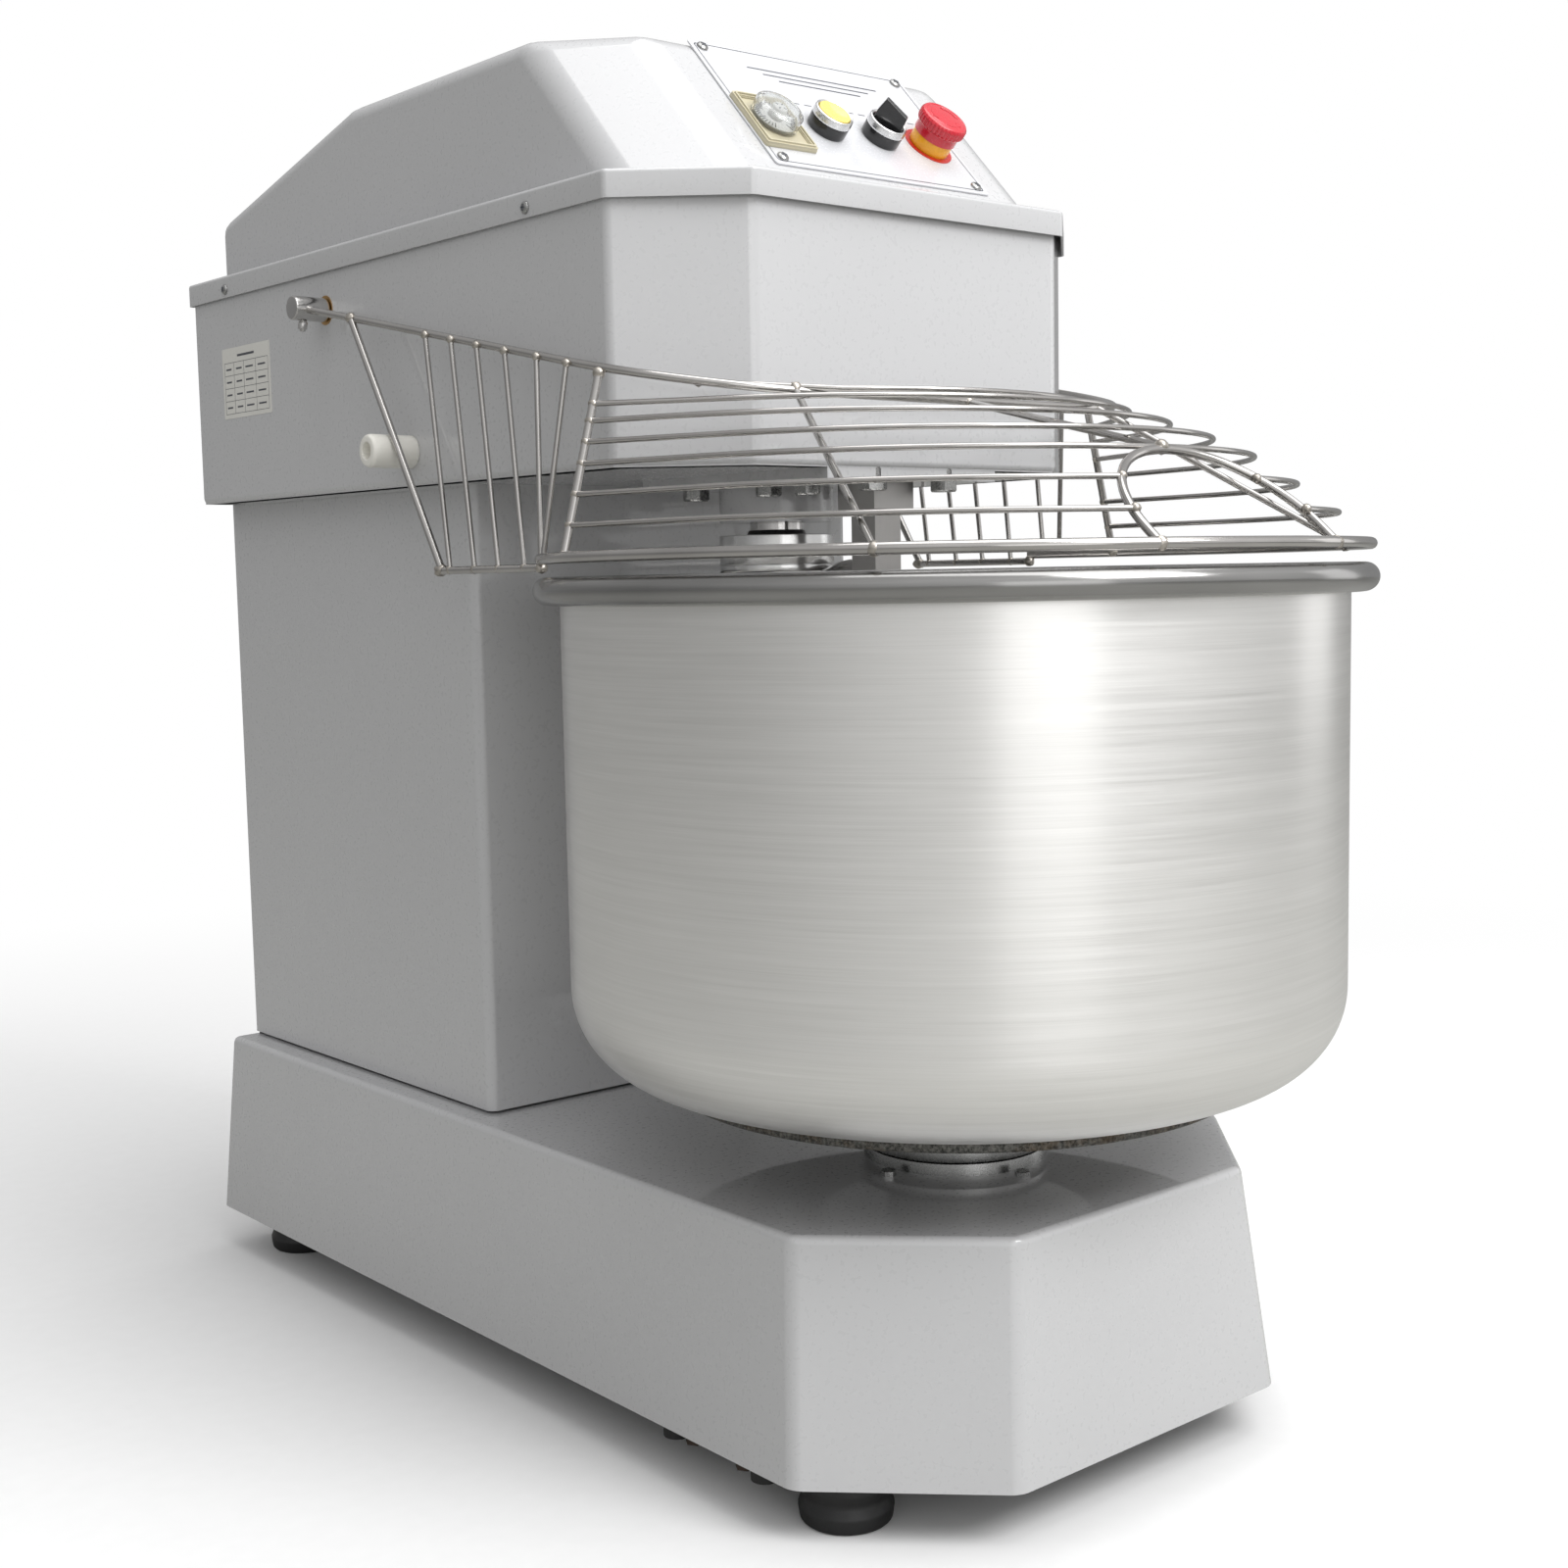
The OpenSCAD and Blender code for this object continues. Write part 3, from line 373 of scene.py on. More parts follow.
def rusty_disc():
    """Raw cast steel: dark scale, rust blooms and pitting."""
    mat, tree, shader = material("raw_steel_disc", (0.2, 0.18, 0.16), 0.6, 0.6)
    at = object_space(tree, (1, 1, 1))
    blooms = noise(tree, at, 28, 8, 0.7)
    pits = noise(tree, at, 420, 4, 0.7)
    steel = ramp(tree, pits, (0.03, 0.03, 0.028), (0.20, 0.195, 0.18), 0.38, 0.66)
    rust = ramp(tree, pits, (0.05, 0.035, 0.022), (0.24, 0.18, 0.12), 0.38, 0.66)
    where = node(tree, "ShaderNodeMapRange", {"Value": blooms, "From Min": 0.50, "From Max": 0.66})
    mix = node(tree, "ShaderNodeMix", {"Factor": where.outputs[0]}, data_type="RGBA")
    tree.links.new(steel, mix.inputs[6])
    tree.links.new(rust, mix.inputs[7])
    tree.links.new(mix.outputs[2], shader.inputs["Base Color"])
    tree.links.new(spread(tree, blooms, 0.42, 0.85), shader.inputs["Roughness"])
    bump(tree, shader, pits, 0.0004, 0.8)
    return mat


def clear_plastic():
    mat, tree, shader = material("clear_dome", (0.95, 0.96, 0.96), 0.08)
    shader.inputs["Transmission Weight"].default_value = 0.92
    shader.inputs["IOR"].default_value = 1.47
    fine = noise(tree, object_space(tree, (1, 1, 1)), 500, 2)
    tree.links.new(spread(tree, fine, 0.05, 0.12), shader.inputs["Roughness"])
    return mat


M = {
    "paint": enamel(),
    "bowl": brushed_bowl("bowl_brushed", 0.34, 0.93, 0.97),
    # The rolled bead is the same stainless steel as the bowl. Its tone of 0.35 is painted darkness that stands
    # in for the dark reflection along the rim.
    "bead": brushed_bowl("bead_brushed_painted_dark", 0.20, 0.35, 0.80),
    "polished": grained("polished_steel", (0.54, 0.53, 0.52), 0.14, 1.0, tone=0.05, grain=600,
                        depth=0.000004),
    "wire": grained("guard_wire", (0.48, 0.465, 0.45), 0.15, 1.0, tone=0.09, patch=16, grain=500,
                    depth=0.000002, rough_swing=0.03),
    "weld": grained("weld_bead", (0.45, 0.42, 0.38), 0.34, 1.0, tone=0.2, patch=120, grain=700,
                    depth=0.0001),
    "flange": grained("turned_flange", (0.74, 0.74, 0.735), 0.20, 1.0, tone=0.04, grain=900, depth=0.000006,
                      stretch=(1, 1, 12)),
    # Near-black steel: painted shade for the shaded neck of the spiral shaft under its housing.
    "steel_painted_shade": grained("collar_painted_shade", (0.05, 0.05, 0.05), 0.3, 0.6, tone=0.2, grain=600, depth=0.00002),
    "satin": grained("satin_steel", (0.36, 0.36, 0.355), 0.28, 1.0, tone=0.08, grain=800, depth=0.00002),
    "bar": grained("milled_bar", (0.46, 0.45, 0.44), 0.36, 1.0, tone=0.1, patch=14, grain=500,
                   depth=0.00004, stretch=(1, 1, 0.08)),
    "disc": rusty_disc(),
    "rubber": grained("black_rubber", (0.016, 0.016, 0.017), 0.45, tone=0.3, grain=500, depth=0.00008),
    "black": grained("black_plastic", (0.012, 0.012, 0.013), 0.2, coat=0.3, tone=0.1, depth=0.000006),
    "red": grained("red_plastic", (0.56, 0.010, 0.026), 0.24, coat=0.4, tone=0.05, depth=0.00001),
    "bezel": grained("anodised_bezel", (0.70, 0.70, 0.70), 0.27, 1.0, tone=0.03, grain=900, depth=0.000004),
    "red_label": grained("red_film", (0.55, 0.02, 0.015), 0.3, tone=0.04, depth=0.00001),
    "orange": grained("amber_plastic", (0.90, 0.42, 0.015), 0.28, coat=0.2, tone=0.05, depth=0.00001),
    "yellow": grained("yellow_plastic", (0.86, 0.66, 0.16), 0.26, coat=0.3, tone=0.05, depth=0.00001),
    "beige": grained("beige_plastic", (0.52, 0.475, 0.34), 0.36, tone=0.05, depth=0.00002),
    "dial": grained("dial_white", (0.80, 0.80, 0.78), 0.3, tone=0.03, depth=0.00001),
    "clear": clear_plastic(),
    "plate": grained("control_sheet", (0.62, 0.625, 0.645), 0.24, coat=0.4, tone=0.02, grain=700,
                     depth=0.00001),
    "ink": grained("grey_ink", (0.07, 0.075, 0.09), 0.5, tone=0.2, depth=0.00001),
    "label": grained("label_film", (0.74, 0.73, 0.69), 0.4, tone=0.03, depth=0.00001),
    "nylon": grained("white_nylon", (0.80, 0.785, 0.73), 0.42, tone=0.03, grain=300, depth=0.00003),
    "frame_steel": grained("primed_steel", (0.10, 0.10, 0.11), 0.55, tone=0.2, grain=200, depth=0.0001),
    "oiled": grained("oiled_steel", (0.17, 0.165, 0.16), 0.33, 1.0, tone=0.25, patch=40, grain=400,
                     depth=0.00005),
    "brown": grained("browned_steel", (0.07, 0.050, 0.04), 0.5, 0.6, tone=0.3, patch=60, grain=500,
                     depth=0.0001),
    "zinc": grained("zinc_steel", (0.42, 0.42, 0.42), 0.42, 0.9, tone=0.12, patch=30, grain=300,
                    depth=0.00005),
    "motor": grained("motor_enamel", (0.07, 0.16, 0.27), 0.4, coat=0.2, tone=0.06, grain=160,
                     depth=0.00008),
    "green": grained("green_enamel", (0.03, 0.20, 0.14), 0.35, coat=0.2, tone=0.06, grain=160,
                     depth=0.00008),
    "bronze": grained("bronze", (0.52, 0.32, 0.13), 0.35, 1.0, tone=0.1, grain=400, depth=0.00003),
    "belt": grained("belt_rubber", (0.02, 0.02, 0.02), 0.65, tone=0.2, grain=900, depth=0.0001),
    "blue": grained("switch_plastic", (0.03, 0.07, 0.25), 0.4, tone=0.05, depth=0.00003),
}

CAD_LOOKS = {
    "paint": ["rear_cover", "head_floor", "tool_plate", "spiral_housing", "electrical_box"],
    "frame_steel": ["base_frame", "column_frame", "bowl_housing"],
    "zinc": ["crossbeam"],
    "rubber": ["crossbeam_buffers"],
    "brown": ["crossbeam_bolts"],
    "polished": ["bowl_bearings", "spiral_bearings", "guard_shaft", "spiral_shaft", "motor_rotor"],
    "oiled": ["bowl_sprocket", "spiral_sprocket", "lay_shaft", "lay_pulley", "jack_shaft", "motor_pulley",
              "drive_chains"],
    "green": ["flange_bearings"],
    "motor": ["motor_housing"],
    "belt": ["drive_belts"],
    "blue": ["guard_switch"],
    "bronze": ["guard_bushes"],
    "black": ["cable_gland"],
    "red": ["estop_stem"],
    "bar": ["breaker_bar"],
}


def dress_cad_nodes():
    for look, names in CAD_LOOKS.items():
        for name in names:
            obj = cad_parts[name]
            obj.data.materials.clear()
            obj.data.materials.append(M[look])


dress_cad_nodes()


# ---------- sheet-metal bodies ----------
def weigh_edges(bm, rule):
    layer = bm.edges.layers.float.new("bevel_weight_edge")
    for e in bm.edges:
        e[layer] = rule(e)


def build_base():
    top = chamfered_plan(0.221, -0.4005, 0.527, 0.105, 0.105)
    low = chamfered_plan(0.237, -0.4165, 0.527, 0.105, 0.105)
    bm = bmesh.new()
    low = [bm.verts.new((p[0], p[1], 0.038)) for p in low]
    high = [bm.verts.new((p[0], p[1], BASE_TOP)) for p in top]
    band(bm, low, high)
    bm.faces.new(high)
    weigh_edges(bm, lambda e: 0.0 if all(v.co.z < 0.1 for v in e.verts)
                else (1.0 if any(v.co.z < 0.1 for v in e.verts) else 0.8))
    obj = mesh_object("base_cover", bm)
    soften(obj, 0.007, 4, weights=True)
    thicken(obj, 0.0025)
    even_normals(obj)
    place(obj, "machine", M["paint"], slot="white_paint", replaces=["base_shell"])


def build_column():
    half, front, rear = 0.1975, 0.102, 0.522
    outline = rounded([(half, rear), (-half, rear), (-half, front), (half, front)], [0, 0, 0.008, 0.008], 8)
    bm = bmesh.new()
    low = [bm.verts.new((p.x, p.y, BASE_TOP + 0.0022)) for p in outline]
    high = [bm.verts.new((p.x, p.y, HEAD_BOTTOM + 0.001)) for p in outline]
    for i in range(1, len(outline)):
        k = (i + 1) % len(outline)
        bm.faces.new((low[i], low[k], high[k], high[i]))
    obj = mesh_object("column_cover", bm)
    thicken(obj, 0.002)
    even_normals(obj)
    place(obj, "machine", M["paint"], slot="white_paint", replaces=["column_shell"])


def build_head():
    plan = chamfered_plan(0.227, -0.1945, 0.523, 0.077, 0.065)
    bm = bmesh.new()
    low = [bm.verts.new((p[0], p[1], HEAD_BOTTOM)) for p in plan]
    high = [bm.verts.new((p[0], p[1], SKIRT_BOTTOM + 0.014)) for p in plan]
    band(bm, low, high)
    inner = chamfered_plan(0.209, -0.1765, 0.505, 0.0695, 0.0587)
    lip = [bm.verts.new((p[0], p[1], HEAD_BOTTOM)) for p in inner]
    for i in range(6):
        bm.faces.new((low[(i + 1) % 6], low[i], lip[i], lip[(i + 1) % 6]))
    weigh_edges(bm, lambda e: 1.0 if len(e.link_faces) == 2 and any(v in low or v in high for v in e.verts)
                and not any(v in lip for v in e.verts) else 0.0)
    obj = mesh_object("head_cover", bm)
    soften(obj, 0.005, 4, weights=True)
    even_normals(obj)
    place(obj, "machine", M["paint"], slot="white_paint", replaces=["head_shell"])


def build_top_cover():
    """Skirt, deck and hood folded from one sheet."""
    bm = bmesh.new()
    plan = chamfered_plan(0.2305, -0.2005, 0.525, 0.077, 0.068)
    hood = [(0.203, 0.512), (-0.203, 0.512), (-0.203, -0.110), (-0.143, -0.174), (0.143, -0.174),
            (0.203, -0.110)]
    low = [bm.verts.new((*p, SKIRT_BOTTOM)) for p in plan]
    edge = [bm.verts.new((*p, DECK)) for p in plan]
    foot = [bm.verts.new((*p, DECK)) for p in hood]
    for i in range(6):
        k = (i + 1) % 6
        bm.faces.new((low[i], low[k], edge[k], edge[i]))
        bm.faces.new((edge[i], edge[k], foot[k], foot[i]))
    rear = [bm.verts.new((x, 0.512, 0.960)) for x in (0.203, -0.203)]
    kink = [bm.verts.new((x, 0.262, HOOD_TOP)) for x in (0.203, -0.203)]
    crown_at = [(-0.203, 0.0), (-0.143, -0.064), (0.143, -0.064), (0.203, 0.0)]
    crown = [bm.verts.new((*p, HOOD_TOP)) for p in crown_at]
    bm.faces.new((foot[0], foot[1], rear[1], rear[0]))
    bm.faces.new((rear[0], rear[1], kink[1], kink[0]))
    bm.faces.new((kink[0], kink[1], *crown))
    bm.faces.new((foot[1], foot[2], crown[0], kink[1], rear[1]))
    bm.faces.new((foot[2], foot[3], crown[1], crown[0]))
    bm.faces.new((foot[3], foot[4], crown[2], crown[1]))
    bm.faces.new((foot[4], foot[5], crown[3], crown[2]))
    bm.faces.new((foot[5], foot[0], rear[0], kink[0], crown[3]))

    def bend(e):
        a, b = e.verts
        across_deck = a in edge + foot and b in edge + foot and (a in edge) != (b in edge)
        if len(e.link_faces) < 2 or across_deck:
            return 0.0
        if all(v in foot for v in e.verts):
            return 0.25
        if any(v in low for v in e.verts) or any(v in edge for v in e.verts):
            return 0.22
        return 1.0

    weigh_edges(bm, bend)
    obj = mesh_object("top_cover_sheet", bm)
    soften(obj, 0.014, 6, weights=True)
    thicken(obj, 0.0018)
    even_normals(obj)
    place(obj, "machine", M["paint"], slot="white_paint", replaces=["top_cover"])


build_base()
build_column()
build_head()
build_top_cover()


# ---------- feet ----------
def build_feet():
    profile = rounded([(0, 0), (0.031, 0), (0.0325, 0.011), (0.0295, 0.019), (0.0325, 0.027),
                       (0.031, 0.038), (0, 0.038)],
                      [0, 0.004, 0.005, 0.006, 0.005, 0.003, 0], 5)
    bm = bmesh.new()
    for x in (-0.181, 0.181):
        for y in (-0.302, 0.470):
            lathe(bm, profile, Matrix.Translation((x, y, 0)), 48)
    sharp_piece("round_feet", bm, 50, "machine", M["rubber"], slot="black_rubber", replaces=["rubber_feet"])


build_feet()


# ---------- bowl and turntable ----------
def build_bowl():
    c = Vector((WALL_R - CORNER_R, BOWL_BOTTOM + CORNER_R))
    t = 0.002
    outer = [(0, BOWL_BOTTOM)] + [tuple(c + polar(CORNER_R, -90 + 90 * i / 24)) for i in range(25)]
    inner = [tuple(c + polar(CORNER_R - t, -90 * i / 24)) for i in range(25)] + [(0, BOWL_BOTTOM + t)]
    top = [(WALL_R, RIM_Z - 0.004), (WALL_R - t, RIM_Z - 0.004)]
    turned("steel_bowl", outer + top + inner, "bowl", M["bowl"], (0, BOWL_Y, 0), segments=192,
           slot="brushed_stainless", replaces=["bowl"])
    bead = Vector((RIM_R - BEAD_R, RIM_Z))
    roll = [tuple(bead + polar(BEAD_R, 198 + 324 * i / 48)) for i in range(49)]
    lip = [(WALL_R - t, RIM_Z - 0.001), (WALL_R - t, RIM_Z - 0.008), (WALL_R + 0.0006, RIM_Z - 0.008)]
    turned("rolled_bead", [roll[0]] + roll + lip + [roll[0]], "bowl", M["bead"], (0, BOWL_Y, 0),
           segments=192, slot="brushed_stainless")


def build_turntable():
    z1 = BOWL_BOTTOM - 0.0002
    z0 = BOWL_BOTTOM - 0.010
    profile = rounded([(0, z0), (0.2085, z0), (0.210, z0 + 0.0015), (0.210, z1 - 0.001), (0.209, z1),
                       (0, z1)],
                      [0, 0.0008, 0.0008, 0.0005, 0.0005, 0], 3)
    turned("cast_disc", profile, "bowl", M["disc"], (0, BOWL_Y, 0), segments=160, slot="raw_steel",
           replaces=["turntable"])


build_bowl()
build_turntable()


# ---------- fasteners ----------
def hex_head(bm, matrix, across, height, shank_d, shank):
    """Hex head standing on local z = 0 with the shank below, crown chamfered."""
    rings = []
    for z, grow in ((0, 1.0), (height * 0.86, 1.0), (height, 0.87)):
        ring = []
        for i in range(24):
            a = 15 * i
            flat = across / 2 / math.cos(math.radians((a + 30) % 60 - 30))
            r = min(flat, across / 2 * (1.115 if grow == 1.0 else 0.94))
            p = polar(r, a + 30)
            ring.append(bm.verts.new(matrix @ Vector((p.x, p.y, z))))
        rings.append(ring)
    for a, b in zip(rings, rings[1:]):
        band(bm, a, b)
    bm.faces.new(rings[0][::-1])
    bm.faces.new(rings[-1])
    lathe(bm, [(0, -shank), (shank_d / 2 - 0.0006, -shank), (shank_d / 2, -shank + 0.0006),
               (shank_d / 2, 0.0005), (0, 0.0005)], matrix, 24)


def square_at(y, side):
    return [(i * side / 2, y + j * side / 2) for i in (-1, 1) for j in (-1, 1)]


def build_hex_bolts():
    bm = bmesh.new()
    turn_over = Matrix.Rotation(math.pi, 4, "X")
    for i in range(5):
        p = polar(0.081, 45 + 72 * i)
        at = Matrix.Translation((p.x, BOWL_Y + p.y, BASE_TOP))
        hex_head(bm, at @ Matrix.Rotation(i * 0.7, 4, "Z"), 0.010, 0.004, 0.006, 0.031)
    for n, (x, y) in enumerate(square_at(SPIRAL_Y, 0.090) + square_at(BAR_Y, 0.072)):
        at = Matrix.Translation((x, y, 0.696)) @ turn_over @ Matrix.Rotation(n * 0.9, 4, "Z")
        hex_head(bm, at, 0.019, 0.008, 0.012, 0.027)
    for x, y in square_at(0.395, 0.152):
        hex_head(bm, Matrix.Translation((x, y, 0.714)), 0.019, 0.008, 0.012, 0.022)
    sharp_piece("machine_bolts", bm, 25, "machine", M["satin"], slot="bolt_steel", replaces=["hex_bolts"])


def build_studs():
    bm = bmesh.new()
    z = BOWL_BOTTOM - 0.010
    for i in range(6):
        p = polar(0.125, 60 * i + 20)
        at = Matrix.Translation((p.x, BOWL_Y + p.y, z)) @ Matrix.Rotation(math.pi, 4, "X")
        hex_head(bm, at, 0.017, 0.008, 0.010, 0.009)
        lathe(bm, [(0, 0.019), (0.0044, 0.019), (0.005, 0.0184), (0.005, 0.007), (0, 0.007)], at, 24)
    sharp_piece("disc_studs", bm, 25, "bowl", M["satin"], slot="bolt_steel", replaces=["turntable_bolts"])


def cross_screw(bm, matrix, d):
    """Pan head standing on local z = 0. Its cross recess is not cut; cross_slot draws it as dark ink, painted
    shade.
    """
    r = d / 2
    profile = rounded([(0, 0), (r, 0), (r * 0.97, r * 0.30), (r * 0.62, r * 0.55), (0, r * 0.60)],
                      [0, 0.0003, r * 0.2, r * 0.3, 0], 4)
    lathe(bm, profile, matrix, 32)


# A cross of dark ink poking through the head's top: painted shade where the recess would be.
def cross_slot(bm, matrix, d):
    r = d / 2
    for turn in (0, math.pi / 2):
        m = matrix @ Matrix.Rotation(turn, 4, "Z")
        prism(bm, [(-r * 0.55, -r * 0.11), (r * 0.55, -r * 0.11), (r * 0.55, r * 0.11),
                   (-r * 0.55, r * 0.11)],
              r * 0.5, r * 0.615, m)


PLATE_U = (-0.103, 0.111)
PLATE_V = (0.002, 0.147)


def screw_places():
    """Where each cross-head screw stands, with its outward direction as local Z."""
    places = []
    for u in (PLATE_U[0] + 0.010, PLATE_U[1] - 0.010):
        for v in (PLATE_V[0] + 0.008, PLATE_V[1] - 0.008):
            places.append(PANEL @ Matrix.Translation((u, v, 0.0015)))
    for side in (-1, 1):
        for y in (0.448, -0.038):
            turn = Matrix.Rotation(side * math.pi / 2, 4, "Y")
            places.append(Matrix.Translation((side * 0.2305, y, 0.891)) @ turn)
    for x in (-0.175, 0.175):
        for z in (0.225, 0.450, 0.675):
            places.append(Matrix.Translation((x, 0.524, z)) @ Matrix.Rotation(-math.pi / 2, 4, "X"))
    return places


def build_screws():
    heads = bmesh.new()
    recess_shade = bmesh.new()
    for n, m in enumerate(screw_places()):
        m = m @ Matrix.Rotation(0.6 * n, 4, "Z")
        cross_screw(heads, m, 0.0092)
        cross_slot(recess_shade, m, 0.0092)
    sharp_piece("cross_screws", heads, 50, "machine", M["satin"], slot="bolt_steel",
                replaces=["sheet_screws"])
    # The recesses are dark ink on the heads: painted shade, not cut hollows.
    place(mesh_object("cross_recess_shade", recess_shade, smooth=False), "machine", M["ink"], slot="bolt_steel")


build_hex_bolts()
build_studs()
build_screws()


# ---------- hub of the bowl, spiral and breaker bar ----------
def build_seal_ring():
    """The two steel flanges of the bowl's hub: the lower one stands still."""
    z = BASE_TOP
    fixed = rounded([(0.031, z), (0.0682, z), (0.0682, z + 0.0087), (0.031, z + 0.0087)],
                    [0, 0, 0.0006, 0], 3)
    turned("hub_ring", fixed + [fixed[0]], "machine", M["satin"], (0, BOWL_Y, 0), segments=96,
           slot="polished_steel", replaces=["bowl_seal_ring"])
    z = BASE_TOP + 0.0094
    top = 0.257
    turning = rounded([(0, 0.086), (0.030, 0.086), (0.030, z), (0.0682, z), (0.0682, z + 0.0096),
                       (0.050, z + 0.0096), (0.050, 0.245), (0.100, 0.245), (0.100, top), (0, top)],
                      [0, 0.001, 0, 0.0005, 0.0008, 0, 0, 0.001, 0, 0], 3)
    turned("hub_flange", turning, "bowl", M["satin"], (0, BOWL_Y, 0), segments=96, slot="polished_steel",
           replaces=["bowl_shaft"])


def build_spiral_flange():
    low = rounded([(0, 0.631), (0.0452, 0.631), (0.0452, 0.6365), (0.0435, 0.6365), (0.0435, 0.637),
                   (0.0455, 0.637), (0.0455, 0.660), (0.0240, 0.660), (0, 0.660)],
                  [0, 0.001, 0.0004, 0, 0, 0.0004, 0.0006, 0, 0], 4)
    turned("spiral_hub", low, "spiral", M["flange"], (0, SPIRAL_Y, 0), segments=96, slot="polished_steel",
           replaces=["spiral_flange"])
    lip = rounded([(0, 0.6601), (0.0240, 0.6601), (0.0220, 0.6641), (0, 0.6641)], [0, 0.0008, 0.0006, 0], 3)
    # The collar's near-black colour is painted shade of the neck under the housing, not the steel's own colour.
    turned("shaft_collar", lip, "spiral", M["steel_painted_shade"], (0, SPIRAL_Y, 0), segments=64,
           slot="polished_steel")


HOOK_R = 0.062
HOOK_TOP = 0.624
HOOK_ARM = 0.612
HOOK_LOW = 0.333


def hook_at(t):
    """Centre line of the spiral: shoulder, helix, then a scroll above the bowl's floor."""
    if t < 0.15:
        u = t / 0.15
        return 0.008 + (HOOK_R - 0.008) * math.sin(math.pi / 2 * u), 150 + 100 * u, HOOK_ARM
    if t < 0.23:
        u = (t - 0.15) / 0.08
        rise = (1 - math.cos(math.pi * u)) / 2
        return HOOK_R, 250 + 48 * u, HOOK_ARM + (HOOK_TOP - HOOK_ARM) * rise
    if t < 0.82:
        u = (t - 0.23) / 0.59
        return HOOK_R, 298 + 352 * u, HOOK_TOP + (HOOK_LOW - HOOK_TOP) * u ** 1.4
    u = (t - 0.82) / 0.18
    a = math.radians(80 * u)
    return HOOK_R - 0.042 + 0.042 * math.cos(a), 650 + 105 * u, HOOK_LOW - 0.042 * math.sin(a)


def build_hook():
    points = []
    for i in range(181):
        r, a, z = hook_at(i / 180)
        p = polar(r, a)
        points.append((p.x, SPIRAL_Y + p.y, z))
    wires("spiral_rod", [points], 0.0159, "spiral", M["polished"], slot="polished_steel",
          replaces=["spiral_hook"])
    end = points[-1]
    bm = bmesh.new()
    ball = [tuple(polar(0.0158, -80 + 160 * i / 12)) for i in range(13)]
    lathe(bm, [(0, -0.0155)] + ball + [(0, 0.0155)], Matrix.Translation(end), 32)
    profile = rounded([(0, 0.589), (0.025, 0.589), (0.026, 0.631), (0, 0.631)], [0, 0.006, 0.001, 0], 5)
    lathe(bm, profile, Matrix.Translation((0, SPIRAL_Y, 0)), 64)
    sharp_piece("spiral_boss", bm, 40, "spiral", M["polished"], slot="polished_steel")


build_seal_ring()
build_spiral_flange()
build_hook()


# ---------- control panel ----------
def rect(u0, u1, v0, v1, r=0.0, steps=5):
    corners = [(u1, v1), (u0, v1), (u0, v0), (u1, v0)]
    return rounded(corners, r, steps) if r else corners


def ring_strip(bm, outer, inner, z, matrix):
    """A flat strip between two outlines with the same number of points."""
    a = [bm.verts.new(matrix @ Vector((*p, z))) for p in outer]
    b = [bm.verts.new(matrix @ Vector((*p, z))) for p in inner]
    band(bm, a, b)


def build_plate():
    bm = bmesh.new()
    prism(bm, rect(*PLATE_U, *PLATE_V, 0.003), 0.0001, 0.0015, PANEL)
    obj = mesh_object("control_sheet", bm, smooth=False)
    soften(obj, 0.0003, 2)
    place(obj, "machine", M["plate"], slot="control_sheet", replaces=["control_plate"])
    ink = bmesh.new()
    e, w = 0.0035, 0.0009
    ring_strip(ink, rect(PLATE_U[0] + e, PLATE_U[1] - e, PLATE_V[0] + e, PLATE_V[1] - e, 0.003),
               rect(PLATE_U[0] + e + w, PLATE_U[1] - e - w, PLATE_V[0] + e + w, PLATE_V[1] - e - w, 0.0026),
               0.00156, PANEL)
    for i in range(3):
        rule = rect(-0.060 + 0.012 * i, 0.070 - 0.012 * i, 0.122 - 0.006 * i, 0.1235 - 0.006 * i)
        prism(ink, rule, 0.0015, 0.00157, PANEL)
    for u in (START_U, SELECTOR_U, ESTOP_U):
        for du in (-0.012, 0, 0.012):
            prism(ink, rect(u + du - 0.0035, u + du + 0.0035, 0.0835, 0.0845), 0.0015, 0.00157, PANEL)
    place(mesh_object("panel_rules", ink, smooth=False), "machine", M["ink"], slot="control_sheet")


def at_panel(u, v=CONTROL_V, h=0.0):
    return PANEL @ Matrix.Translation((u, v, h))


def frame_rim(bm, outer, inner, z0, z1, matrix):
    """A raised frame: top face between two outlines, with its outer and inner walls."""
    rings = []
    for outline, z in ((outer, z0), (outer, z1), (inner, z1), (inner, z0)):
        rings.append([bm.verts.new(matrix @ Vector((*p, z))) for p in outline])
    for a, b in zip(rings, rings[1:]):
        band(bm, a, b)


def timer_outline(inset):
    return rect(-0.024 + inset, 0.024 - inset, -0.031 + inset, 0.028 - inset, 0.0016)


